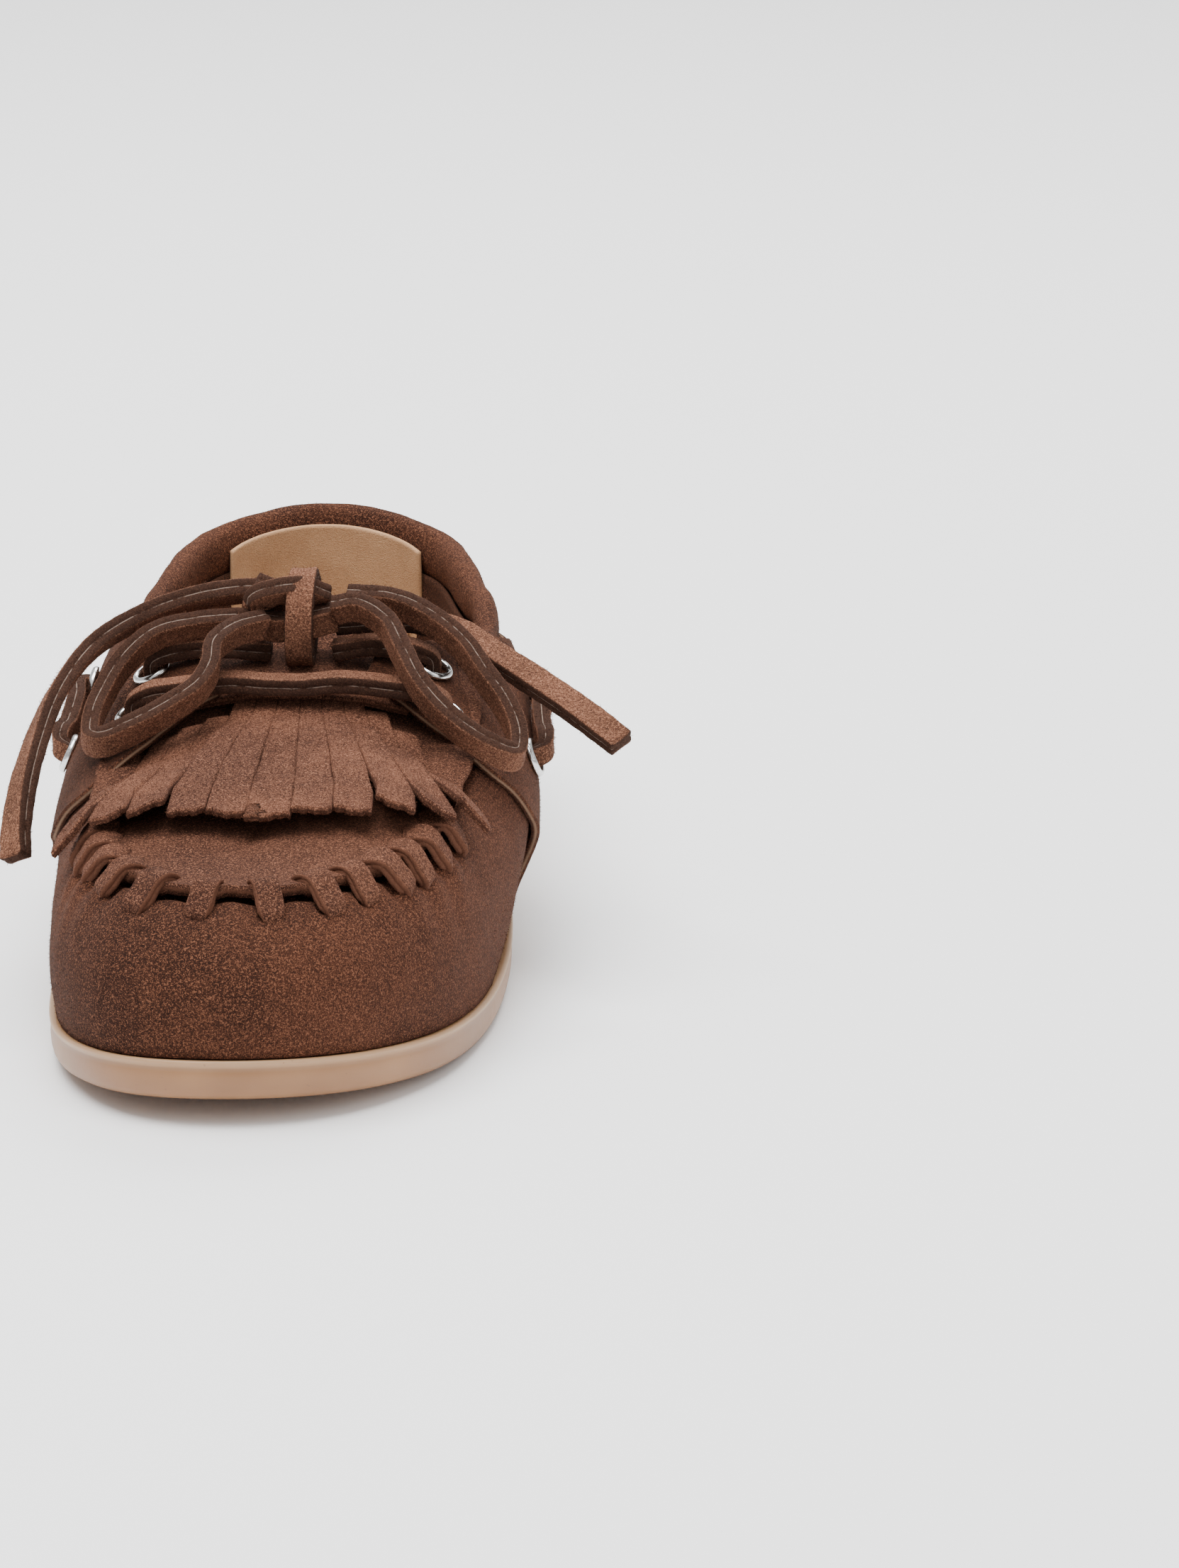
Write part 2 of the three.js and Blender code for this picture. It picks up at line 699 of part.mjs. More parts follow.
function heldLace() {
  const half = (side) => {
    const front = throatEyelets[side > 0 ? 0 : 2];
    const rear = throatEyelets[side > 0 ? 1 : 3];
    const frontAt = upper(front.u, front.tilt, 0);
    const rearAt = upper(rear.u, rear.tilt, 0);
    const outward = new THREE.Vector3(side, 0, 0);
    const backward = rearAt.clone().sub(frontAt).normalize();
    const lengthwise = new THREE.Vector3(0, 1, 0);
    const crosswise = new THREE.Vector3(side, 0, -0.5);
    const bar = [[4, 2.8], [11, 3.8], [21, 4.4]].map(([x, height]) => ({
      at: over(x * side, -24, height),
      wide: lengthwise,
      ...fullStrap,
    }));
    const down = throughEyelet(front, outward, lengthwise, true);
    down[4].at = frontAt.clone().addScaledVector(backward, 2).addScaledVector(upperNormal(front.u, front.tilt), -1.95);
    down[4].wide = crosswise;
    const up = throughEyelet(rear, outward, lengthwise, true).reverse();
    up[0].at = rearAt.clone().addScaledVector(backward, -2).addScaledVector(upperNormal(rear.u, rear.tilt), -1.95);
    up[0].wide = crosswise;
    const under = {
      at: over(side > 0 ? 30.5 : -29.2, -15, -1.95),
      wide: crosswise,
      ...slimStrap,
    };
    const riser = [
      { at: over(16 * side, -8, 4.4), wide: lengthwise, ...fullStrap },
      { at: new THREE.Vector3(2.6 + 6.6 * side, -9, 66), wide: lengthwise, ...fullStrap },
    ];
    return [...bar, ...down, under, ...up, ...riser];
  };
  return [...half(-1).reverse(), ...half(1)];
}

addNode('lace_held', strap(heldLace(), 76), paint.lace);

function sideLace() {
  const half = (side) => {
    const front = sideEyelets[side > 0 ? 0 : 2];
    const rear = sideEyelets[side > 0 ? 1 : 3];
    const run = upperFace(rear.u, rear.tilt).sub(upperFace(front.u, front.tilt)).normalize();
    const rise = new THREE.Vector3(0, 0, 1);
    const channel = [0.36, 0.385, 0.41, 0.435, 0.46, 0.475, 0.489].map((u) => ({
      at: upper(u * side, lerp(23, 14.5, smooth(0.35, 0.42, u)), -3.4),
      wide: rise,
      ...slimStrap,
    }));
    const outside = [0.303, 0.318].map((u) => ({
      at: upper(u * side, 32.6, facing + 2.4),
      wide: rise,
      ...fullStrap,
    }));
    const inner = throughEyelet(front, run.clone().negate(), rise, true).reverse();
    const outer = throughEyelet(rear, run, rise, true);
    return [...inner, ...outside, ...outer, ...channel];
  };
  return [...half(-1), ...half(1).reverse()];
}

addNode('side_lace', strap(sideLace(), 80), paint.lace);

// Bow: knot, two loops and two ends. The straps stand on edge, their width away from the shoe.
const knotAt = new THREE.Vector3(2.6, -9, 73);
const knotCore = new THREE.SphereGeometry(1, 12, 8);
knotCore.scale(4.6, 4.4, 6.4);
knotCore.translate(knotAt.x, knotAt.y, knotAt.z);
const knotLumps = [[-2.6, 0.4], [2.6, -0.4]].map(([x, y]) => {
  const lump = new THREE.SphereGeometry(1, 8, 6);
  lump.scale(3.6, 2.6, 2.4);
  lump.translate(knotAt.x + x, knotAt.y + y, knotAt.z + 6.2);
  return lump;
});
let knot = toManifold(knotCore);
for (const lump of knotLumps) knot = knot.add(toManifold(lump));
addNode('bow_knot', fromManifold(knot), paint.lace);

const bowRoutes = {
  bow_loop_medial: [
    [-4.8, -8.6, 71.8], [-10.8, -9, 71.8], [-18.8, -10, 71.4], [-28.1, -12.6, 69.6], [-34.6, -17, 64.6],
    [-38.2, -25, 59.6], [-39.5, -31, 56.8], [-39.4, -36.1, 54], [-36.5, -39.5, 54.3], [-30, -41, 57.7],
    [-22.7, -38.9, 61.4], [-17.5, -35.7, 64.5], [-15.2, -31.1, 67.4], [-14.7, -25, 70.6], [-10.4, -18.4, 72.4],
    [-5.2, -13.6, 72.6],
  ],
  bow_loop_lateral: [
    [9.6, -12, 75.5], [14.4, -13, 76.3], [20.4, -16.6, 73.8], [24, -23.5, 69.6], [28.4, -31.5, 64],
    [35.3, -36.9, 58], [42.5, -38.2, 53.4], [47.6, -35, 50.6], [48.2, -28.8, 53], [45.4, -23, 58.2],
    [40.9, -18, 63], [36, -13, 68.4], [28.8, -9, 73], [21.7, -6.5, 75.6], [12, -5.2, 76],
  ],
  lace_end_medial: [
    [-5, -6, 79.2], [-12, -5, 79], [-22.3, -5.4, 77.8], [-32.4, -9, 74.2], [-40.6, -17, 69.4],
    [-46.6, -29, 62.4], [-50, -41, 55.4], [-52, -53, 48], [-52.6, -61, 41.4], [-52.4, -65, 37],
  ],
  lace_end_lateral: [
    [9, -2.6, 70.2], [23, 0.4, 70.4], [34.3, -2, 68.4], [41.6, -8, 65.4], [48.7, -14, 62.6],
    [59.9, -23, 57.6], [69.6, -31, 52.5],
  ],
};
const edgewise = new THREE.Vector3(0, -0.42, 0.91);
for (const [name, route] of Object.entries(bowRoutes)) {
  const stops = route.map((p) => ({ at: new THREE.Vector3(...p), wide: edgewise, ...fullStrap }));
  addNode(name, strap(stops, Math.round(route.length * 2)), paint.lace);
}

export default shoe;
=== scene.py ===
import math
import bpy
import bmesh
import numpy as np
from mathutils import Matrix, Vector


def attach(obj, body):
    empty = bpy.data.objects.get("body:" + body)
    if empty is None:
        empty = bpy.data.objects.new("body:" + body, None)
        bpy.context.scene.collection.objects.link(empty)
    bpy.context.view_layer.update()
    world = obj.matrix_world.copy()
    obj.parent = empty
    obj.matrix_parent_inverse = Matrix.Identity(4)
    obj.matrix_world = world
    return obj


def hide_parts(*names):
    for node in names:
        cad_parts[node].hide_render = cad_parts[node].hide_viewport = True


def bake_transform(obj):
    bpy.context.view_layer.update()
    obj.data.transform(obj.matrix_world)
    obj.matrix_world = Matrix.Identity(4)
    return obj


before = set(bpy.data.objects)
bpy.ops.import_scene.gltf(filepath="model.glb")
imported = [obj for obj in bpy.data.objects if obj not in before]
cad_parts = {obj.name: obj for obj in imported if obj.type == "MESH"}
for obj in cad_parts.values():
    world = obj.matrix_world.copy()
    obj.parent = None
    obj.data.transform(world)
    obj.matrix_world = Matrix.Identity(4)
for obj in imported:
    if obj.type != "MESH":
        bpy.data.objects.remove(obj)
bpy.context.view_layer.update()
body = "shoe"
centring = np.array([-2.2, 0.2, 0.0])  # the CAD part's shift, in millimetres

# camera

cameraLook = {
    "elevation": 16.0,
    "turn": 1.5,
    "distance": 1500.0,
    "focalPixels": 10200.0,
    "photoHeight": 2212.0,
    "aim": (63.0, -27.0, 42.0),  # what the middle of the picture looks at, in millimetres
}


def makeCamera(look):
    turn = math.radians(look["turn"])
    rise = math.radians(look["elevation"])
    data = bpy.data.cameras.new("camera")
    data.sensor_width = 36.0
    data.lens = look["focalPixels"] * data.sensor_width / look["photoHeight"]
    data.clip_end = 20.0
    data.dof.use_dof = False
    camera = bpy.data.objects.new("camera", data)
    bpy.context.scene.collection.objects.link(camera)
    out = look["distance"] * math.cos(rise)
    aim = np.array(look["aim"])
    aim[0:2] = [aim[0] * math.cos(turn), aim[0] * math.sin(turn) + aim[1]]
    place = aim + [out * math.sin(turn), -out * math.cos(turn), look["distance"] * math.sin(rise)]
    camera.location = (place + centring) / 1000
    camera.rotation_euler = (math.pi / 2 - rise, 0.0, turn)
    bpy.context.scene.camera = camera


makeCamera(cameraLook)

# the shoe's shape, in millimetres

soleLength = 254.0
halfLength = soleLength / 2
outlineRows = [
    (0, -8, -8), (3.5, 9, -23), (14, 23.5, -34), (33, 36, -42), (60, 43.5, -45.5), (92, 46.5, -46),
    (128, 45.5, -44), (164, 42, -40.5), (203, 36.5, -35.8), (237.5, 28, -27.5), (252, 0, 0),
]  # back from the toe, outer edge, inner edge
outline = np.array(
    [(outer, back) for back, outer, _ in outlineRows]
    + [(inner, back) for back, _, inner in outlineRows[-2:0:-1]],
    float,
)
crestBack = [44, 70, 100, 125, 165, 205]
crestX = [-3, 0, 1, 1, 0, 0]
crestZ = [46, 52, 59, 66, 92, 120]
fit = 0.35


def smooth(low, high, value):
    f = np.clip((np.asarray(value, float) - low) / (high - low), 0, 1)
    return f * f * (3 - 2 * f)


def bump(value, centre, spread):
    return np.exp(-0.5 * ((np.asarray(value, float) - centre) / spread) ** 2)


def outlineAt(u):
    place = (np.asarray(u, float) % 1) * len(outline)
    i = np.floor(place).astype(int)
    f = (place - i)[..., None]
    a, b, c, d = (outline[(i + k) % len(outline)] for k in (-1, 0, 1, 2))
    return 0.5 * (2 * b + (c - a) * f + (2 * a - 5 * b + 4 * c - d) * f**2 + (3 * b - a - 3 * c + d) * f**3)


def edgeAt(u, inset):
    step = 0.001
    point = outlineAt(u)
    run = outlineAt(np.asarray(u) + step) - outlineAt(np.asarray(u) - step)
    out = np.stack([run[..., 1], -run[..., 0]], -1)
    out = out / np.linalg.norm(out, axis=-1, keepdims=True)
    return point[..., 0] - out[..., 0] * inset, point[..., 1] - out[..., 1] * inset, out, point[..., 1]


def toeSpring(back):
    return 6 * np.maximum((65 - np.asarray(back, float)) / 65, 0) ** 1.6


def soleTop(back):
    return toeSpring(back) + 8 + 4 * smooth(90, 180, back)


# u runs round the sole from the toe, tilt from 0 at the sole to 90 at the crest
def upperFace(u, tilt):
    u, tilt = np.broadcast_arrays(np.asarray(u, float), np.asarray(tilt, float))
    x, back, out, row = edgeAt(u, 1.0)
    phi = np.radians(tilt)
    top = 44 + 0.64 * row
    topX = np.interp(top, crestBack, crestX)
    topZ = np.interp(top, crestBack, crestZ)
    foot = soleTop(row) + fit
    power = np.interp(row, [0, 50, 110, 160, 200, 252], [0.8, 0.84, 0.88, 0.88, 0.9, 0.9])
    inward = 1 - np.maximum(np.cos(phi), 0) ** power
    upward = np.maximum(np.sin(phi), 0) ** power
    waist = smooth(60, 120, row) * (1 - smooth(170, 235, row))
    fullness = 4 + waist * np.where(x > 0, 6.5, 3.5)
    bulge = fullness * np.sin(np.clip(phi * 2.2, 0, math.pi))
    return np.stack([
        x + (topX - x) * inward + out[..., 0] * bulge,
        back + (top - back) * inward + out[..., 1] * bulge - halfLength,
        foot + (topZ - foot) * upward,
    ], -1)


def unit(vectors):
    return vectors / np.maximum(np.linalg.norm(vectors, axis=-1, keepdims=True), 1e-9)


def upperNormal(u, tilt):
    u, tilt = np.broadcast_arrays(np.asarray(u, float), np.asarray(tilt, float))
    level = np.clip(tilt, 0.3, 88)
    run = upperFace(u + 0.001, level) - upperFace(u - 0.001, level)
    up = upperFace(u, level + 0.2) - upperFace(u, level - 0.2)
    return unit(np.cross(run, up))


def upper(u, tilt, offset=0.0):
    return upperFace(u, tilt) + upperNormal(u, tilt) * np.asarray(offset, float)[..., None]


# the place on the upper under points seen from above
def placeOn(x, y):
    x, y = np.broadcast_arrays(np.asarray(x, float), np.asarray(y, float))
    side = np.where(x >= np.interp(y + halfLength, crestBack, crestX), 1.0, -1.0)

    def tiltFor(u):
        low, high = np.full(x.shape, 22.0), np.full(x.shape, 90.0)
        for _ in range(22):
            middle = (low + high) / 2
            outside = upperFace(u, middle)[..., 0] * side > x * side
            low, high = np.where(outside, middle, low), np.where(outside, high, middle)
        return (low + high) / 2

    near, far = np.full(x.shape, 0.004), np.full(x.shape, 0.44)
    for _ in range(22):
        middle = (near + far) / 2
        short = upperFace(middle * side, tiltFor(middle * side))[..., 1] < y
        near, far = np.where(short, middle, near), np.where(short, far, middle)
    u = (near + far) / 2 * side
    return u, tiltFor(u)


def over(x, y, offset=0.0):
    u, tilt = placeOn(x, y)
    return upper(u, tilt, offset)


# soft, repeatable unevenness between -1 and 1
def unevenness(points, size, seed):
    p = np.asarray(points, float) / size
    a = np.sin(p[..., 0] * 1.7 + seed) * np.cos(p[..., 1] * 2.1 - seed * 1.3)
    b = np.sin(p[..., 1] * 3.3 + p[..., 2] * 2.7 + seed * 2.1) * np.cos(p[..., 0] * 2.9 + seed)
    c = np.sin(p[..., 2] * 1.9 - p[..., 0] * 1.3 + seed * 0.7)
    return (a + 0.6 * b + 0.6 * c) / 2.2


def between(keys, values, at):
    return np.interp(at, keys, values)


# making meshes


def makeObject(name, points, faces, rim=None):
    mesh = bpy.data.meshes.new(name)
    metres = (np.asarray(points) + centring) / 1000
    mesh.from_pydata([tuple(p) for p in metres], [], [tuple(f) for f in faces])
    mesh.polygons.foreach_set("use_smooth", [True] * len(mesh.polygons))
    if rim is not None:
        mesh.attributes.new("rim", "FLOAT", "POINT").data.foreach_set("value",
            np.asarray(rim, np.float32).ravel())
    obj = bpy.data.objects.new(name, mesh)
    bpy.context.scene.collection.objects.link(obj)
    return obj


def faceOut(obj):
    work = bmesh.new()
    work.from_mesh(obj.data)
    bmesh.ops.remove_doubles(work, verts=work.verts, dist=2e-6)
    bmesh.ops.dissolve_degenerate(work, edges=work.edges, dist=1e-7)
    bmesh.ops.recalc_face_normals(work, faces=work.faces)
    if work.calc_volume(signed=True) < 0:
        bmesh.ops.reverse_faces(work, faces=work.faces)
    work.to_mesh(obj.data)
    work.free()
    return obj


# a sheet with soft cut edges between two grids of points
def makeSheet(name, outer, inner, closedTop=False, soft=0.35):
    n, m = outer.shape[:2]
    count = n * m
    points = [outer.reshape(-1, 3), inner.reshape(-1, 3)]
    rim = np.full((n, m), 0.0)
    rims = [rim.ravel(), rim.ravel()]
    i, j = np.meshgrid(np.arange(n - 1), np.arange(m - 1), indexing="ij")
    a = (i * m + j).ravel()
    b = a + m
    faces = [np.stack([a, b, b + 1, a + 1], -1), np.stack([a, a + 1, b + 1, b], -1) + count]
    borders = [
        (np.arange(n) * m, np.arange(n) * m + 1),
        (np.arange(m)[::-1], np.arange(m)[::-1] + m),
        ((n - 1) * m + np.arange(m), (n - 2) * m + np.arange(m)),
    ]
    if not closedTop:
        borders.append((np.arange(n)[::-1] * m + m - 1, np.arange(n)[::-1] * m + m - 2))
    flatOuter, flatInner = points[0], points[1]
    start = count * 2
    for edge, inside in borders:
        away = unit(flatOuter[edge] + flatInner[edge] - flatOuter[inside] - flatInner[inside])
        middle = (flatOuter[edge] + flatInner[edge]) / 2 + away * soft
        points.append(middle)
        rims.append(np.ones(len(edge)))
        mid = start + np.arange(len(edge))
        faces.append(np.stack([edge[:-1], mid[:-1], mid[1:], edge[1:]], -1))
        faces.append(np.stack([mid[:-1], edge[:-1] + count, edge[1:] + count, mid[1:]], -1))
        start += len(edge)
    obj = makeObject(name, np.concatenate(points), np.concatenate(faces), rim=np.concatenate(rims))
    return closeCorners(obj)


# the soft edges of two borders meet at a corner point
def closeCorners(obj):
    work = bmesh.new()
    work.from_mesh(obj.data)
    bmesh.ops.remove_doubles(work, verts=work.verts, dist=2e-6)
    open_ = [e for e in work.edges if e.is_boundary]
    if open_:
        bmesh.ops.holes_fill(work, edges=open_, sides=8)
    bmesh.ops.triangulate(work, faces=[f for f in work.faces if len(f.verts) > 4])
    bmesh.ops.recalc_face_normals(work, faces=work.faces)
    if work.calc_volume(signed=True) < 0:
        bmesh.ops.reverse_faces(work, faces=work.faces)
    for face in work.faces:
        face.smooth = True
    work.to_mesh(obj.data)
    work.free()
    return obj


def panel(name, columns, rows, start, stop, lowLine, highLine, outerOffset, innerOffset):
    u = np.linspace(start, stop, columns)[:, None]
    v = np.linspace(0, 1, rows)[None, :]
    tilt = lowLine(u) * (1 - v) + highLine(u) * v
    u = np.broadcast_to(u, tilt.shape)
    top = outerOffset(u, tilt) if callable(outerOffset) else outerOffset
    low = innerOffset(u, tilt) if callable(innerOffset) else innerOffset
    return makeSheet(name, upper(u, tilt, top), upper(u, tilt, low))


def centripetal(points, count):
    p = np.asarray(points, float)
    p = np.vstack([2 * p[0] - p[1], p, 2 * p[-1] - p[-2]])
    knots = np.concatenate([[0], np.cumsum(np.linalg.norm(np.diff(p, axis=0), axis=1) ** 0.5)])
    at = np.linspace(0, len(points) - 1, count)
    i = np.minimum(at.astype(int), len(points) - 2)
    t = (knots[i + 1] + (knots[i + 2] - knots[i + 1]) * (at - i))[:, None]
    t0, t1, t2, t3 = (knots[i + k][:, None] for k in range(4))
    p0, p1, p2, p3 = (p[i + k] for k in range(4))
    a1 = p0 + (p1 - p0) * (t - t0) / (t1 - t0)
    a2 = p1 + (p2 - p1) * (t - t1) / (t2 - t1)
    a3 = p2 + (p3 - p2) * (t - t2) / (t3 - t2)
    b1 = a1 + (a2 - a1) * (t - t0) / (t2 - t0)
    b2 = a2 + (a3 - a2) * (t - t1) / (t3 - t1)
    return b1 + (b2 - b1) * (t - t1) / (t2 - t1)


# a quarter of the lace's section: width, thickness, 1 on the cut edges, 1 on the glue line
sectionCorner = [
    (0.95, 0.0, 1.0, 1.0), (0.97, 0.1, 1.0, 0.35), (1.0, 0.17, 1.0, 0.0), (1.03, 0.45, 1.0, 0.0),
    (1.01, 0.78, 1.0, 0.0),
    (0.97, 0.93, 0.8, 0.0), (0.9, 1.01, 0.1, 0.0), (0.78, 1.03, 0.0, 0.0), (0.4, 1.0, 0.0, 0.0),
    (0.0, 0.98, 0.0, 0.0),
]
laceSection = [(w, t, e, g) for w, t, e, g in sectionCorner]
laceSection += [(-w, t, e, g) for w, t, e, g in sectionCorner[-2::-1]]
laceSection += [(-w, -t, e, g) for w, t, e, g in sectionCorner[1:]]
laceSection += [(w, -t, e, g) for w, t, e, g in sectionCorner[-2:0:-1]]


# a suede strap of two glued layers along a route; wides are the directions of its width
def makeStrap(name, route, wides, sizes, step=0.9, rough=0.1):
    length = np.linalg.norm(np.diff(np.asarray(route, float), axis=0), axis=1).sum()
    count = max(int(length / step), 8)
    line = centripetal(route, count)
    spread = np.linspace(0, len(route) - 1, count)
    keys = np.arange(len(route))
    wide = np.stack([between(keys, np.asarray(wides, float)[:, k], spread) for k in range(3)], -1)
    halfWidth = between(keys, [s[0] for s in sizes], spread)
    halfThick = between(keys, [s[1] for s in sizes], spread)
    heading = unit(np.gradient(line, axis=0))
    wide = unit(wide - heading * np.sum(wide * heading, -1, keepdims=True))
    thick = np.cross(heading, wide)
    section = np.array(laceSection)
    rings = (
        line[:, None]
        + wide[:, None] * (section[:, 0] * halfWidth[:, None])[..., None]
        + thick[:, None] * (section[:, 1] * halfThick[:, None])[..., None]
    )
    grain = unevenness(rings, 1.3, 0.4) * rough + unevenness(rings, 4.1, 2.0) * rough
    rings = rings + unit(rings - line[:, None]) * grain[..., None]
    k = len(section)
    points = rings.reshape(-1, 3)
    rim = np.tile(section[:, 2], count)
    glue = np.tile(section[:, 3], count)
    i, j = np.meshgrid(np.arange(count - 1), np.arange(k), indexing="ij")
    a = (i * k + j).ravel()
    b = (i * k + (j + 1) % k).ravel()
    faces = [list(f) for f in np.stack([a, b, b + k, a + k], -1)]
    for ring, flip in ((0, True), (count - 1, False)):
        shrunk = len(points)
        inside = line[ring] + (rings[ring] - line[ring]) * 0.55
        inside = inside + heading[ring] * (-0.25 if ring == 0 else 0.25)
        points = np.vstack([points, inside])
        rim = np.concatenate([rim, np.ones(k)])
        glue = np.concatenate([glue, np.zeros(k)])
        for q in range(k):
            r = (q + 1) % k
            quad = [ring * k + q, ring * k + r, shrunk + r, shrunk + q]
            faces.append(quad[::-1] if flip else quad)
        cap = [shrunk + q for q in range(k)]
        faces.append(cap[::-1] if flip else cap)
    obj = makeObject(name, points, faces, rim=rim)
    obj.data.attributes.new("glue", "FLOAT", "POINT").data.foreach_set("value", glue.astype(np.float32))
    return faceOut(obj), line


# geometry node trees


def addNode(tree, kind, settings=None, inputs=None):
    node = tree.nodes.new(kind)
    for key, value in (settings or {}).items():
        setattr(node, key, value)
    for key, value in (inputs or {}).items():
        socket = node.inputs[key]
        if isinstance(value, bpy.types.NodeSocket):
            tree.links.new(value, socket)
        else:
            socket.default_value = value
    return node


def newTree(name, inputs):
    tree = bpy.data.node_groups.new(name, "GeometryNodeTree")
    tree.interface.new_socket("Geometry", in_out="INPUT", socket_type="NodeSocketGeometry")
    for label, kind, value in inputs:
        socket = tree.interface.new_socket(label, in_out="INPUT", socket_type=kind)
        if value is not None:
            socket.default_value = value
    tree.interface.new_socket("Geometry", in_out="OUTPUT", socket_type="NodeSocketGeometry")
    return tree, tree.nodes.new("NodeGroupInput").outputs


def endTree(tree, geometry, material):
    real = addNode(tree, "GeometryNodeRealizeInstances", {}, {"Geometry": geometry})
    paint = addNode(tree, "GeometryNodeSetMaterial", {}, {"Geometry": real.outputs[0], "Material": material})
    out = tree.nodes.new("NodeGroupOutput")
    tree.links.new(paint.outputs[0], out.inputs[0])


def growMesh(name, carrier, tree, values, material):
    modifier = carrier.modifiers.new("grow", "NODES")
    modifier.node_group = tree
    for item in tree.interface.items_tree:
        if item.item_type == "SOCKET" and item.in_out == "INPUT" and item.name in values:
            modifier[item.identifier] = values[item.name]
    graph = bpy.context.evaluated_depsgraph_get()
    mesh = bpy.data.meshes.new_from_object(carrier.evaluated_get(graph))
    obj = bpy.data.objects.new(name, mesh)
    bpy.context.scene.collection.objects.link(obj)
    bpy.data.objects.remove(carrier)
    mesh.materials.clear()
    mesh.materials.append(material)
    mesh.polygons.foreach_set("use_smooth", [True] * len(mesh.polygons))
    return obj


# points that carry the directions a copy is set by
def carrierOf(name, places, normals, runs):
    obj = makeObject(name, places, [])
    for label, values in (("facing", normals), ("run", runs)):
        layer = obj.data.attributes.new(label, "FLOAT_VECTOR", "POINT")
        layer.data.foreach_set("vector", np.asarray(values, np.float32).ravel())
    return obj


# copies one shape onto a carrier's points, its Z along facing and its X along run
def copyTree():
    tree, given = newTree("copiesOnPoints", [
        ("Shape", "NodeSocketObject", None),
        ("Material", "NodeSocketMaterial", None),
        ("Size jitter", "NodeSocketFloat", 0.0),
        ("Turn jitter", "NodeSocketFloat", 0.0),
        ("Seed", "NodeSocketInt", 4),
    ])
    facing = addNode(tree, "GeometryNodeInputNamedAttribute", {"data_type": "FLOAT_VECTOR"},
        {"Name": "facing"})
    run = addNode(tree, "GeometryNodeInputNamedAttribute", {"data_type": "FLOAT_VECTOR"}, {"Name": "run"})
    turn = addNode(tree, "FunctionNodeAxesToRotation", {"primary_axis": "Z", "secondary_axis": "X"}, {
        "Primary Axis": facing.outputs[0], "Secondary Axis": run.outputs[0],
    })
    low = addNode(tree, "ShaderNodeMath", {"operation": "MULTIPLY"}, {0: given["Turn jitter"], 1: -1.0})
    angle = addNode(tree, "FunctionNodeRandomValue", {"data_type": "FLOAT"}, {
        2: low.outputs[0], 3: given["Turn jitter"], "Seed": given["Seed"],
    })
    spin = addNode(tree, "FunctionNodeAxisAngleToRotation", {},
        {"Axis": (0, 0, 1), "Angle": angle.outputs[1]})
    both = addNode(tree, "FunctionNodeRotateRotation", {"rotation_space": "LOCAL"}, {
        "Rotation": turn.outputs[0], "Rotate By": spin.outputs[0],
    })
    small = addNode(tree, "ShaderNodeMath", {"operation": "SUBTRACT"}, {0: 1.0, 1: given["Size jitter"]})
    large = addNode(tree, "ShaderNodeMath", {"operation": "ADD"}, {0: 1.0, 1: given["Size jitter"]})
    size = addNode(tree, "FunctionNodeRandomValue", {"data_type": "FLOAT"}, {
        2: small.outputs[0], 3: large.outputs[0], "Seed": given["Seed"],
    })
    shape = addNode(tree, "GeometryNodeObjectInfo", {}, {"Object": given["Shape"]})
    copies = addNode(tree, "GeometryNodeInstanceOnPoints", {}, {
        "Points": given["Geometry"], "Instance": shape.outputs["Geometry"],
        "Rotation": both.outputs[0], "Scale": size.outputs[1],
    })
    endTree(tree, copies.outputs[0], given["Material"])
    return tree


# fibres standing out of a nap, kept in the same mesh
def fuzzTree():
    tree, given = newTree("napFibres", [
        ("Fibre", "NodeSocketObject", None),
        ("Material", "NodeSocketMaterial", None),
        ("Density", "NodeSocketFloat", 1.0),
        ("Lean", "NodeSocketFloat", 0.9),
        ("Seed", "NodeSocketInt", 3),
    ])
    spread = addNode(tree, "GeometryNodeDistributePointsOnFaces", {}, {
        "Mesh": given["Geometry"], "Density": given["Density"], "Seed": given["Seed"],
    })
    back = addNode(tree, "ShaderNodeMath", {"operation": "MULTIPLY"}, {0: given["Lean"], 1: -1.0})
    lean = addNode(tree, "FunctionNodeRandomValue", {"data_type": "FLOAT_VECTOR"}, {
        0: back.outputs[0], 1: given["Lean"], "Seed": given["Seed"],
    })
    tip = addNode(tree, "FunctionNodeEulerToRotation", {}, {0: lean.outputs[0]})
    turn = addNode(tree, "FunctionNodeRotateRotation", {"rotation_space": "LOCAL"}, {
        "Rotation": spread.outputs["Rotation"], "Rotate By": tip.outputs[0],
    })
    size = addNode(tree, "FunctionNodeRandomValue", {"data_type": "FLOAT"},
        {2: 0.35, 3: 1.1, "Seed": given["Seed"]})
    shape = addNode(tree, "GeometryNodeObjectInfo", {}, {"Object": given["Fibre"]})
    fibres = addNode(tree, "GeometryNodeInstanceOnPoints", {}, {
        "Points": spread.outputs["Points"], "Instance": shape.outputs["Geometry"],
        "Rotation": turn.outputs[0], "Scale": size.outputs[1],
    })
    joined = addNode(tree, "GeometryNodeJoinGeometry")
    tree.links.new(fibres.outputs[0], joined.inputs[0])
    tree.links.new(given["Geometry"], joined.inputs[0])
    endTree(tree, joined.outputs[0], given["Material"])
    return tree


copiesOnPoints = copyTree()
napFibres = fuzzTree()


def fibreShape(length, radius=0.065):
    ring = [(radius * math.cos(a), radius * math.sin(a), -0.1) for a in (0.0, 2.1, 4.2)]
    points = [np.array(p) - centring for p in ring + [(length * 0.3, 0, length)]]
    faces = [(0, 2, 1), (0, 1, 3), (1, 2, 3), (2, 0, 3)]
    return makeObject("fibre", points, faces)


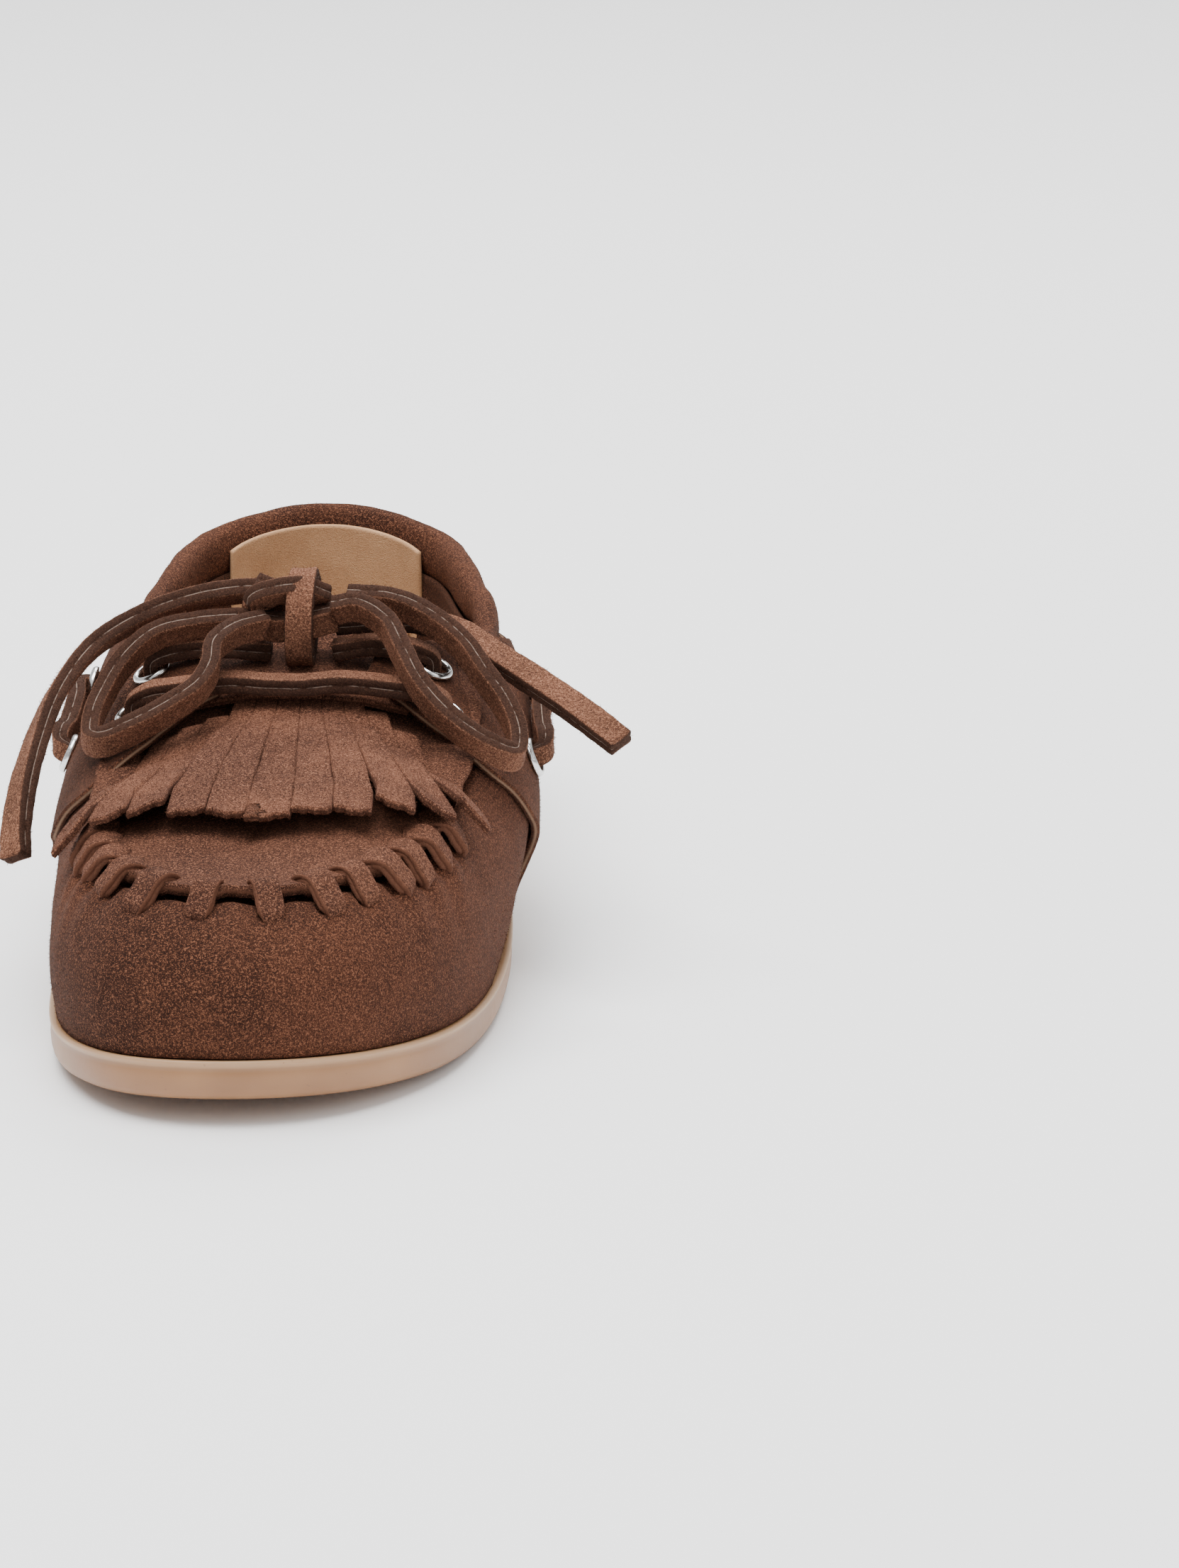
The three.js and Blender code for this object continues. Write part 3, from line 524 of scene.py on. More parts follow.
# per square millimetre, and the length in millimetres
def addFuzz(obj, density, length, material, seed=3):
    shape = fibreShape(length)
    name = obj.name
    obj.name = name + "Bare"
    made = growMesh(name, obj, napFibres, {
        "Fibre": shape, "Material": material, "Density": density * 1e6, "Seed": seed,
    }, material)
    bpy.data.objects.remove(shape)
    return made


def copyAlong(name, shape, places, normals, runs, material, sizeJitter=0.0, turnJitter=0.0, seed=4):
    carrier = carrierOf(name + "Points", places, normals, runs)
    obj = growMesh(name, carrier, copiesOnPoints, {
        "Shape": shape, "Material": material, "Size jitter": sizeJitter, "Turn jitter": turnJitter,
        "Seed": seed,
    }, material)
    bpy.data.objects.remove(shape)
    return obj


# materials


class Shade:
    def __init__(self, tree, socket):
        self.tree = tree
        self.socket = socket

    def sum(self, operation, other, swapped=False):
        a, b = (other, self) if swapped else (self, other)
        values = {k: v.socket if isinstance(v, Shade) else v for k, v in enumerate((a, b))}
        node = addNode(self.tree, "ShaderNodeMath", {"operation": operation}, values)
        return Shade(self.tree, node.outputs[0])

    def __add__(self, other):
        return self.sum("ADD", other)

    def __radd__(self, other):
        return self.sum("ADD", other, True)

    def __sub__(self, other):
        return self.sum("SUBTRACT", other)

    def __rsub__(self, other):
        return self.sum("SUBTRACT", other, True)

    def __mul__(self, other):
        return self.sum("MULTIPLY", other)

    def __rmul__(self, other):
        return self.sum("MULTIPLY", other, True)

    def __pow__(self, other):
        return self.sum("POWER", other)

    def node(self, kind, settings=None, inputs=None, output=0):
        plain = {k: v.socket if isinstance(v, Shade) else v for k, v in (inputs or {}).items()}
        return Shade(self.tree, addNode(self.tree, kind, settings, plain).outputs[output])

    def ramp(self, low, high):
        return self.node("ShaderNodeMapRange", {"interpolation_type": "SMOOTHSTEP"}, {
            "Value": self, "From Min": low, "From Max": high, "To Min": 0.0, "To Max": 1.0,
        })

    def mix(self, first, second):
        return self.node("ShaderNodeMix", {"data_type": "RGBA"}, {0: self, 6: first, 7: second}, 2)


def newMaterial(name):
    material = bpy.data.materials.new(name)
    material.use_nodes = True
    tree = material.node_tree
    shader = tree.nodes["Principled BSDF"]
    place = Shade(tree, addNode(tree, "ShaderNodeTexCoord").outputs["Object"])
    return material, tree, shader, place


def noise(place, scale, detail=3.0, roughness=0.55, stretch=None):
    where = place
    if stretch:
        where = place.node("ShaderNodeMapping", {}, {"Vector": place, "Scale": stretch})
    return place.node("ShaderNodeTexNoise", {}, {
        "Vector": where, "Scale": scale, "Detail": detail, "Roughness": roughness,
    })


def attribute(place, name):
    return place.node("ShaderNodeAttribute", {"attribute_name": name}, {}, 2)


def link(tree, shader, name, value):
    tree.links.new(value.socket, shader.inputs[name])


def rgb(r, g, b):
    parts = (r / 255, g / 255, b / 255)
    linear = [((c + 0.055) / 1.055) ** 2.4 if c > 0.04045 else c / 12.92 for c in parts]
    return (*linear, 1.0)


# brushed suede: broad patches where the nap lies differently, and a fine fibre grain whose raised nap is
# painted lighter (painted highlight) and whose hollows are painted darker (painted shade)
def suedeMaterial(name, dark, middle, light, edge, patch=16.0, contrast=1.0, nap=4000.0, sheen=0.1,
    glue=None):
    material, tree, shader, place = newMaterial(name)
    broad = noise(place, patch, 2.0, 0.5)
    cloud = noise(place, patch * 6, 3.0, 0.6)
    fibre = noise(place, nap, 2.0, 0.7)
    speck = noise(place, nap * 0.5, 2.0, 0.7)
    tone = (broad * 0.7 + cloud * 0.3).ramp(0.36, 0.64)
    colour = tone.mix(rgb(*dark), rgb(*middle))
    # painted highlight: the raised nap, the high spots of the bump height, is lightened towards the sheen
    # tint colour
    grain = (fibre * 0.5 + speck * 0.5).ramp(0.48, 0.7)
    colour = (grain * (0.72 * contrast)).mix(colour.socket, rgb(*light))
    # painted shade: the nap's hollows, the low spots of the bump height, are darkened towards a deep brown
    napHollowShade = 1 - (fibre * 0.5 + speck * 0.5).ramp(0.36, 0.53)
    colour = (napHollowShade * (0.75 * contrast)).mix(colour.socket, rgb(*[c * 0.55 for c in dark]))
    colour = (attribute(place, "rim").ramp(0.45, 1.0) * 0.85).mix(colour.socket, rgb(*edge))
    if glue:
        worn = noise(place, 260.0, 3.0, 0.7).ramp(0.4, 0.56)
        colour = (attribute(place, "glue").ramp(0.4, 0.95) * worn * 0.65).mix(colour.socket, rgb(*glue))
    link(tree, shader, "Base Color", colour)
    link(tree, shader, "Roughness", 0.86 + fibre * 0.12)
    shader.inputs["Sheen Weight"].default_value = sheen
    shader.inputs["Sheen Roughness"].default_value = 0.4
    shader.inputs["Sheen Tint"].default_value = rgb(*light)
    shader.inputs["Specular IOR Level"].default_value = 0.12
    height = fibre * 0.55 + speck * 0.45
    relief = place.node("ShaderNodeBump", {}, {"Height": height, "Strength": 0.9, "Distance": 0.0003})
    link(tree, shader, "Normal", relief)
    return material


def gumMaterial():
    material, tree, shader, place = newMaterial("gumSole")
    broad = noise(place, 22.0, 3.0, 0.6)
    fine = noise(place, 420.0, 3.0, 0.6)
    colour = broad.ramp(0.35, 0.66).mix(rgb(132, 93, 60), rgb(152, 111, 74))
    colour = (attribute(place, "rim") * 0.75).mix(colour.socket, rgb(166, 134, 101))
    specks = noise(place, 900.0, 1.0, 0.5).ramp(0.72, 0.78)
    colour = (specks * 0.5).mix(colour.socket, rgb(118, 84, 60))
    link(tree, shader, "Base Color", colour)
    link(tree, shader, "Roughness", 0.3 + broad * 0.16 + fine * 0.08)
    shader.inputs["Subsurface Weight"].default_value = 0.1
    shader.inputs["Subsurface Radius"].default_value = (0.004, 0.002, 0.001)
    shader.inputs["Subsurface Scale"].default_value = 1.0
    shader.inputs["Coat Roughness"].default_value = 0.25
    relief = place.node("ShaderNodeBump", {}, {"Height": fine, "Strength": 0.25, "Distance": 0.0001})
    link(tree, shader, "Normal", relief)
    return material


def metalMaterial():
    material, tree, shader, place = newMaterial("eyeletMetal")
    scratch = noise(place, 700.0, 3.0, 0.6, (1.0, 1.0, 4.0))
    link(tree, shader, "Base Color", scratch.ramp(0.3, 0.7).mix(rgb(196, 196, 194), rgb(226, 226, 224)))
    link(tree, shader, "Roughness", 0.14 + scratch * 0.14)
    shader.inputs["Metallic"].default_value = 1.0
    return material


def threadMaterial(name, colour):
    material, tree, shader, place = newMaterial(name)
    twist = noise(place, 2600.0, 2.0, 0.5)
    link(tree, shader, "Base Color", twist.mix(rgb(*[c * 0.75 for c in colour]), rgb(*colour)))
    link(tree, shader, "Roughness", 0.6 + twist * 0.2)
    return material


darkSuede = suedeMaterial("darkSuede", (44, 23, 15), (72, 42, 29), (136, 90, 67), (60, 36, 26))
fringeSuede = suedeMaterial("fringeSuede", (68, 40, 29), (98, 62, 46), (156, 110, 87), (58, 34, 25),
    patch=40.0)
laceSuede = suedeMaterial("laceSuede", (84, 54, 40), (110, 73, 56), (162, 116, 91), (40, 25, 19), 60.0,
    glue=(150, 132, 120))
liningSuede = suedeMaterial("liningSuede", (44, 25, 17), (60, 36, 25), (94, 60, 44), (66, 40, 28))
tanSuede = suedeMaterial("tanSuede", (166, 126, 92), (190, 150, 114), (216, 180, 146), (182, 142, 107),
    20.0, contrast=0.22)
facingSuede = suedeMaterial("facingSuede", (54, 30, 20), (74, 44, 31), (122, 80, 58), (132, 106, 86))
gum = gumMaterial()
metal = metalMaterial()
threadBrown = threadMaterial("threadBrown", (92, 60, 44))


# nap is fibres per square millimetre and their length
def dress(obj, material, nodes=(), ride=True, nap=None):
    if nap:
        obj = addFuzz(obj, nap[0], nap[1], material)
    obj.data.materials.clear()
    obj.data.materials.append(material)
    if nodes:
        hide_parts(*nodes)
    if ride:
        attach(obj, body)
    return obj


# laces: loose straps first

laceLook = {"halfWidth": 2.9, "halfThickness": 1.85, "gauge": 4.8}
laceNap = (1.6, 0.75)
strapSize = (laceLook["halfWidth"], laceLook["halfThickness"])

bowStraps = {
    "bow_loop_medial": {
        "far": "object",
        "route": [
            (-4.8, -8.6, 71.8), (-10.8, -9, 71.8), (-18.8, -10, 71.4), (-28.1, -12.6, 69.6),
            (-34.6, -17, 64.6),
            (-38.2, -25, 59.6), (-39.5, -31, 56.8), (-39.4, -36.1, 54), (-36.5, -39.5, 54.3),
            (-30, -41, 57.7),
            (-22.7, -38.9, 61.4), (-17.5, -35.7, 64.5), (-15.2, -31.1, 67.4), (-14.7, -25, 70.6),
            (-10.4, -18.4, 72.4),
            (-5.2, -13.6, 72.6),
        ],
        "wide": [(0, -0.6, 0.8), (0.1, -0.45, 0.9)],
    },
    "bow_loop_lateral": {
        "far": "object",
        "route": [
            (9.6, -12, 75.5), (14.4, -13, 76.3), (20.4, -16.6, 73.8), (24, -23.5, 69.6), (28.4, -31.5, 64),
            (35.3, -36.9, 58), (42.5, -38.2, 53.4), (47.6, -35, 50.6), (48.2, -28.8, 53), (45.4, -23, 58.2),
            (40.9, -18, 63), (36, -13, 68.4), (28.8, -9, 73), (21.7, -6.5, 75.6), (12, -5.2, 76),
        ],
        "wide": [(0.1, -0.6, 0.8), (0.2, -0.5, 0.85)],
    },
    "lace_end_medial": {
        "far": "bare",
        "route": [
            (-5, -6, 78.0), (-12, -5, 77.4), (-22.3, -5.4, 75.4), (-32.4, -9, 72.2), (-40.6, -17, 68.4),
            (-46.6, -29, 62.4), (-50, -41, 55.4), (-52, -53, 48), (-52.6, -61, 41.4), (-52.4, -65, 37),
        ],
        "wide": [(0, -0.8, 0.6), (0.2, -0.8, 0.55), (0.75, -0.6, 0.1)],
    },
    "lace_end_lateral": {
        "far": "bare",
        "route": [
            (9, -2.6, 70.2), (23, 0.4, 70.4), (34.3, -2, 68.4), (41.6, -8, 65.4), (48.7, -14, 62.6),
            (59.9, -23, 57.6), (69.6, -31, 52.5),
        ],
        "wide": [(-0.1, -0.8, -0.1), (-0.3, -0.75, -0.5)],
    },
}


def makeBowStraps():
    for name, look in bowStraps.items():
        route = look["route"]
        spread = np.linspace(0, len(look["wide"]) - 1, len(route))
        keys = range(len(look["wide"]))
        wides = [[between(keys, [w[k] for w in look["wide"]], s) for k in range(3)] for s in spread]
        obj, line = makeStrap(name + "_strap", route, wides, [strapSize] * len(route))
        obj = dress(obj, laceSuede, [name], nap=laceNap)
        path = (line + centring) / 1000
        length = float(np.linalg.norm(np.diff(path, axis=0), axis=1).sum())
        print(f"{name}: {length * 1000:.0f} mm long")


makeBowStraps()
print("loose straps made")

# soft curves


def soft(keys, values, at, reach):
    steps = np.linspace(-reach, reach, 7)
    return sum(np.interp(np.asarray(at, float) + d, keys, values) for d in steps) / len(steps)


def seamTilt(u):
    return soft([0, 0.05, 0.1, 0.15, 0.2, 0.25, 0.32], [61, 58, 55, 50, 47, 50, 58], np.abs(u), 0.014)


def rowOf(u):
    return outlineAt(u)[..., 1]


# sole and insole

soleLook = {"columns": 360}


def makePlate(name, rings, columns=240):
    u = np.arange(columns) / columns
    lines = []
    for inset, height, _ in rings:
        x, back, _, _ = edgeAt(u, inset)
        lines.append(np.stack([x, back - halfLength, height(back)], -1))
    points = np.concatenate(lines)
    rim = np.repeat([r[2] for r in rings], columns)
    faces = []
    for r in range(len(rings) - 1):
        i = np.arange(columns)
        a, b = r * columns + i, r * columns + (i + 1) % columns
        faces += [list(f) for f in np.stack([a, b, b + columns, a + columns], -1)]
    faces.append(list(range(columns))[::-1])
    faces.append(list((len(rings) - 1) * columns + np.arange(columns)))
    obj = makeObject(name, points, faces, rim=rim)
    work = bmesh.new()
    work.from_mesh(obj.data)
    bmesh.ops.triangulate(work, faces=[f for f in work.faces if len(f.verts) > 4])
    bmesh.ops.recalc_face_normals(work, faces=work.faces)
    if work.calc_volume(signed=True) < 0:
        bmesh.ops.reverse_faces(work, faces=work.faces)
    work.to_mesh(obj.data)
    work.free()
    return obj


def makeSole():
    rings = [
        (9, toeSpring, 0.0), (3.2, toeSpring, 0.0), (1.9, lambda b: toeSpring(b) + 0.15, 0.0),
        (0.9, lambda b: toeSpring(b) + 0.75, 0.0), (0.3, lambda b: toeSpring(b) + 1.7, 0.0),
        (0.0, lambda b: toeSpring(b) + 2.9, 0.0), (-0.1, lambda b: (toeSpring(b) + soleTop(b)) / 2, 0.0),
        (0.05, lambda b: soleTop(b) - 2.2, 0.0), (0.3, lambda b: soleTop(b) - 1.5, 0.2),
        (0.15, lambda b: soleTop(b) - 1.1, 0.7), (-0.25, lambda b: soleTop(b) - 0.6, 1.0),
        (-0.3, lambda b: soleTop(b) - 0.1, 1.0), (0.1, lambda b: soleTop(b) + 0.25, 1.0),
        (1.0, lambda b: soleTop(b) + 0.2, 0.6), (3.2, lambda b: soleTop(b) + 0.05, 0.0), (9, soleTop, 0.0),
    ]
    dress(makePlate("sole_shell", rings, soleLook["columns"]), gum, ["outsole"])


def makeInsole():
    stack = fit
    layers = [
        ("board_layer", "insole_board", 1.5, boardPaper, "stiffener_board"),
        ("foam_layer", "insole_foam", 3.6, foamCream, "insole_foam"),
        ("sock_sheet", "sock_lining", 1.0, tanSuede, "tan_lining"),
    ]
    for name, node, thick, material, slotName in layers:
        low, high = stack, stack + thick
        rings = [
            (13, lambda b, z=low: soleTop(b) + z, 0.0), (9.0, lambda b, z=low: soleTop(b) + z, 0.0),
            (8.6, lambda b, z=low: soleTop(b) + z + 0.25, 0.0),
            (8.6, lambda b, z=high: soleTop(b) + z - 0.3, 0.0),
            (8.95, lambda b, z=high: soleTop(b) + z - 0.05, 0.6),
            (9.8, lambda b, z=high: soleTop(b) + z, 0.0),
            (13, lambda b, z=high: soleTop(b) + z, 0.0),
        ]
        dress(makePlate(name, rings), material, [node])
        stack += thick + fit


boardPaper = threadMaterial("boardPaper", (176, 158, 130))
foamCream = threadMaterial("foamCream", (222, 214, 196))
makeSole()
makeInsole()
print("sole and insole made")

# vamp and apron

seamLook = {
    "places": [-0.172, -0.156, -0.137, -0.112, -0.072, -0.02, 0.033, 0.076, 0.106, 0.129, 0.149, 0.168,
    0.188],
    "pucker": 0.45,
    "dent": 1.3,
    "edgeLift": 2.9,
    "edgeThickness": 2.9,
    "strapHalfWidth": 2.6,
    "strapHalfThickness": 1.25,
}


def stitchWave(u):
    places = seamLook["places"]
    phase = soft(places, np.arange(len(places)), u, 0.003)
    return np.cos(phase * 2 * math.pi)


def seamLive(u):
    first, last = seamLook["places"][0], seamLook["places"][-1]
    return smooth(first - 0.02, first, u) * (1 - smooth(last, last + 0.02, u))


def vampOffset(u, tilt):
    below = seamTilt(u) - tilt
    wave, live = stitchWave(u), seamLive(u)
    at = upperFace(u, tilt)
    side = 1 + 1.3 * smooth(0.07, 0.16, np.abs(u))
    pleat = -seamLook["pucker"] * wave * np.exp(-np.maximum(below - 2, 0) / 9) * live * side
    dent = -seamLook["dent"] * smooth(0.5, 1.0, wave) * bump(below, 7.0, 1.8) * live
    tuck = -2.6 * (1 - smooth(-1.5, 3.8, below))
    swell = 0.5 * bump(below, 10, 5) * live
    return pleat + dent + tuck + swell + 0.35 * unevenness(at, 17, 1.2) + 0.12 * unevenness(at, 5, 3.1)


def apronOffset(u, tilt):
    above = tilt - seamTilt(u)
    wave, live = stitchWave(u), seamLive(u)
    at = upperFace(u, tilt)
    drop = -3.4 * smooth(30, 80, rowOf(u)) * smooth(3, 13, above)
    lift = seamLook["edgeLift"] * np.exp(-np.maximum(above, 0) / 5.5)
    pull = -0.75 * smooth(-0.2, 1.0, wave) * np.exp(-np.maximum(above, 0) / 5) * live
    return drop + lift + pull + 0.35 * unevenness(at, 19, 4.7) + 0.1 * unevenness(at, 5, 0.7)


def makeApron():
    columns, rows = 360, 60
    u = np.linspace(-0.31, 0.31, columns)[:, None]
    v = np.linspace(0, 1, rows)[None, :]
    low = seamTilt(u) - 0.2 - 0.5 * stitchWave(u) * seamLive(u) + 0.25 * np.sin(u * 310 + 1)
    tilt = low * (1 - v) + 90 * v
    at = np.where(v == 1, np.abs(u), u)
    outer = upper(at, tilt, apronOffset(at, tilt))
    edgeExtra = (seamLook["edgeThickness"] - 1.6) * np.exp(-(tilt - low) / 5)
    inner = upper(at, tilt, apronOffset(at, tilt) - 1.6 - edgeExtra)
    obj = makeSheet("apron_sheet", outer, inner, closedTop=True, soft=0.3)
    dress(obj, apronSuede, ["apron_and_tongue"], nap=(0.8, 0.5))


apronSuede = suedeMaterial("apronSuede", (56, 32, 23), (86, 54, 40), (150, 103, 80), (96, 62, 47))
# the vamp runs further back along the sole than it does at the height of the side eyelets
def makeVamp():
    v = np.linspace(0, 1, 66)[None, :]
    reach = 0.312 - 0.038 * smooth(0.2, 0.45, v)
    u = reach * np.linspace(-1, 1, 400)[:, None]
    tilt = (seamTilt(u) + 5.5) * v
    lift = vampOffset(u, tilt) - 0.16 * smooth(0.18, 0.22, np.abs(u))
    return makeSheet("vamp_sheet", upper(u, tilt, lift), upper(u, tilt, lift - 1.6))


vamp = makeVamp()
dress(vamp, darkSuede, ["vamp"], nap=(0.7, 0.5))
makeApron()
dress(panel("puff_sheet", 60, 10, -0.14, 0.14, lambda u: u * 0 + 2, lambda u: seamTilt(u) - 12, -1.95, -2.75),
      boardPaper, ["toe_puff"])
dress(panel("vamp_lining_sheet", 100, 14, -0.262, 0.262, lambda u: u * 0 + 2, lambda u: seamTilt(u) - 10,
    -3.3, -4.3),
      liningSuede, ["vamp_lining"])


# one whipstitch: a short suede strap over the apron's edge, in metres, width along X and up the shoe along Y
def whipShape():
    route = [
        (0, -6.4, -2.2), (0, -6.3, -1.1), (0, -5.9, -0.1), (0, -5.0, 0.6), (0, -3.5, 1.3), (0, -1.6, 2.4),
        (0, 0.2, 3.0), (0, 1.6, 2.7), (0, 3.0, 1.7), (0, 4.0, 0.2),
    ]
    wide, thick = seamLook["strapHalfWidth"], seamLook["strapHalfThickness"]
    shares = [(0.55, 0.75), (0.72, 0.85), (0.88, 0.95), (0.98, 1), (1, 1), (1, 0.95), (1, 0.85), (1, 0.8),
        (0.98, 0.8), (0.9, 0.8)]
    sizes = [(wide * a, thick * b) for a, b in shares]
    obj, _ = makeStrap("whip", [np.array(p) - centring for p in route], [(1, 0, 0)] * len(route), sizes,
        0.4, 0.16)
    return obj


def makeWhipstitches():
    u = np.array(seamLook["places"])
    seam = seamTilt(u)
    ahead, behind = upperFace(u + 0.004, seamTilt(u + 0.004)), upperFace(u - 0.004, seamTilt(u - 0.004))
    normal = upperNormal(u, seam)
    run = unit(ahead - behind)
    lean = np.radians(22) * np.clip(u / 0.19, -1, 1) + np.radians(7) * np.sin(np.arange(len(u)) * 2.3)
    side = np.cross(normal, run)
    run = run * np.cos(lean)[:, None] + side * np.sin(lean)[:, None]
    run = unit(run - normal * np.sum(run * normal, -1, keepdims=True))
    obj = copyAlong("whipstitches", whipShape(), upperFace(u, seam), normal, run, apronSuede, 0.06, 0.1, 7)
    dress(obj, apronSuede, ["whipstitch_thong"], nap=(1.2, 0.5))


makeWhipstitches()
print("vamp and apron made")

# quarters, backstay, linings

fronts = {
    1: [(0.3, 0), (0.288, 12), (0.262, 27), (0.246, 45), (0.249, 62), (0.268, 76)],
    -1: [(0.296, 0), (0.278, 12), (0.245, 27), (0.224, 45), (0.231, 62), (0.255, 76)],
}
toplineU = [0.268, 0.29, 0.297, 0.315, 0.335, 0.352, 0.37, 0.4, 0.45, 0.497]
toplineTilt = [76, 74.5, 72, 57, 44, 36, 29, 22.5, 19.5, 19.5]
toplineAt = [0, 0.1, 0.14, 0.24, 0.34, 0.42, 0.5, 0.62, 0.8, 1]
quarterBack = 0.497
heelTilt = 19.5


def topline(u):
    u = np.asarray(u, float)
    return soft(toplineU, toplineTilt, np.where(u > 0.5, 1 - u, u), 0.006)


def quarterLift(u):
    return 1.95 * (1 - smooth(150, 172, rowOf(np.abs(u))))


def quarterUv(front, s, v):
    at = np.linspace(0, 1, len(front))
    frontU = soft(at, [p[0] for p in front], v, 0.05)
    frontTilt = soft(at, [p[1] for p in front], v, 0.0)
    startU, throatU, throatTilt = soft(at, [p[0] for p in front], 0, 0.05), front[-1][0], front[-1][1]
    topU = np.maximum(soft(toplineAt, toplineU, s, 0.015), throatU)
    topU = topU + min(throatU - toplineU[0], 0) * (1 - smooth(0, 0.2, s))
    topTilt = soft(toplineAt, toplineTilt, s, 0.015)
    bottom = startU + (quarterBack - startU) * s
    endU = soft(at, [p[0] for p in front], 1, 0.05)
    cornerU = (startU * (1 - s) + quarterBack * s) * (1 - v) + (endU * (1 - s) + quarterBack * s) * v
    cornerTilt = (throatTilt * (1 - s) + heelTilt * s) * v
    u = bottom * (1 - v) + topU * v + frontU * (1 - s) + quarterBack * s - cornerU
    tilt = topTilt * v + frontTilt * (1 - s) + heelTilt * v * s - cornerTilt
    return u, tilt


def makeQuarter(side, node):
    s = np.linspace(0, 1, 190)[:, None] ** 1.25
    v = np.linspace(0, 1, 76)[None, :]
    u, tilt = quarterUv(fronts[side], s, v)
    u, tilt = np.broadcast_arrays(u, tilt)
    at = upperFace(u * side, tilt)
    row = rowOf(u)
    wave = 0.45 * unevenness(at, 21, 2.2 + side) + 0.12 * unevenness(at, 6, 5.0)
    crease = -0.9 * bump(tilt - 0.35 * (row - 118), 26, 2.2) * bump(row, 116, 12) if side < 0 else 0
    crease2 = -0.7 * bump(tilt + 0.5 * (row - 112), 47, 2.0) * bump(row, 110, 10) if side < 0 else 0
    edge = 0.25 * np.exp(-s / 0.02)
    lift = quarterLift(u) + wave + crease + crease2 + edge
    thick = 1.6 + 0.2 * np.exp(-s / 0.02)
    outer = upper(u * side, tilt, lift)
    inner = upper(u * side, tilt, lift - thick)
    obj = makeSheet(node + "_sheet", outer, inner, soft=0.35)
    dress(obj, facingSuede, [node], nap=(0.6, 0.5))


makeQuarter(1, "quarter_lateral")
makeQuarter(-1, "quarter_medial")
dress(panel("backstay_strip", 30, 50, 0.485, 0.515, lambda u: u * 0, lambda u: topline(u) - 0.4, 1.7, -0.4),
      darkSuede, ["backstay"])
dress(panel("counter_sheet", 50, 8, 0.4, 0.6, lambda u: u * 0 + 1.5, lambda u: u * 0 + 10.5, -2.3, -3.2),
      boardPaper, ["heel_counter"])


def liningTop(u):
    return np.minimum(topline(u), 44) + 1.5


def liningFace(depth, puff):
    def face(u, tilt):
        up = np.clip(tilt / np.maximum(liningTop(u), 1), 0, 1)
        return -depth - puff * np.sin(up * math.pi) + 0.3 * unevenness(upperFace(u, tilt), 13, 6.0)
    return face


for side, start, stop in (("lateral", 0.268, 0.455), ("medial", 0.732, 0.545)):
    lining = panel(f"lining_{side}_sheet", 110, 30, start, stop, lambda u: u * 0 + 3, liningTop,
                   liningFace(5.0, 0.6), liningFace(6.2, 1.4))
    dress(lining, liningSuede, [f"side_lining_{side}"])


def riseAt(u):
    tilt = topline(u)
    return unit(upperFace(u, tilt + 0.5) - upperFace(u, tilt - 0.5))


# runs up the inside of the heel and on over the inner face of the collar
def makeHeelLining():
    u = np.linspace(0.453, 0.547, 70)[:, None]
    v = np.linspace(0, 1, 44)[None, :]
    low, high = np.minimum(v / 0.6, 1), np.maximum((v - 0.6) / 0.4, 0)
    tilt = 3 * (1 - low) + topline(u) * low
    u, tilt = np.broadcast_arrays(u, tilt)
    swell = 0.25 * unevenness(upperFace(u, tilt), 14, 3.0)
    corner = 1 - 0.14 * np.abs(np.linspace(-1, 1, 70)[:, None]) ** 5
    climb = riseAt(u) * (high * corner * 9.6)[..., None]
    faces = [upper(u, tilt, depth + swell) + climb for depth in (-6.3, -7.4)]
    return makeSheet("heel_lining_sheet", faces[0], faces[1], soft=0.3)


dress(makeHeelLining(), tanSuede, ["heel_lining"], nap=(0.5, 0.35))
dress(panel("heel_grip_sheet", 40, 16, 0.46, 0.54, lambda u: u * 0 + 5.5,
    lambda u: 14.5 - 900 * (u - 0.5) ** 2, -7.75, -8.6),
      tanSuede, ["heel_grip"])
print("quarters and linings made")

# collar roll

collarLook = {"from": 0.354, "halfHeight": 6.2, "halfThickness": 3.8, "fill": 0.8}


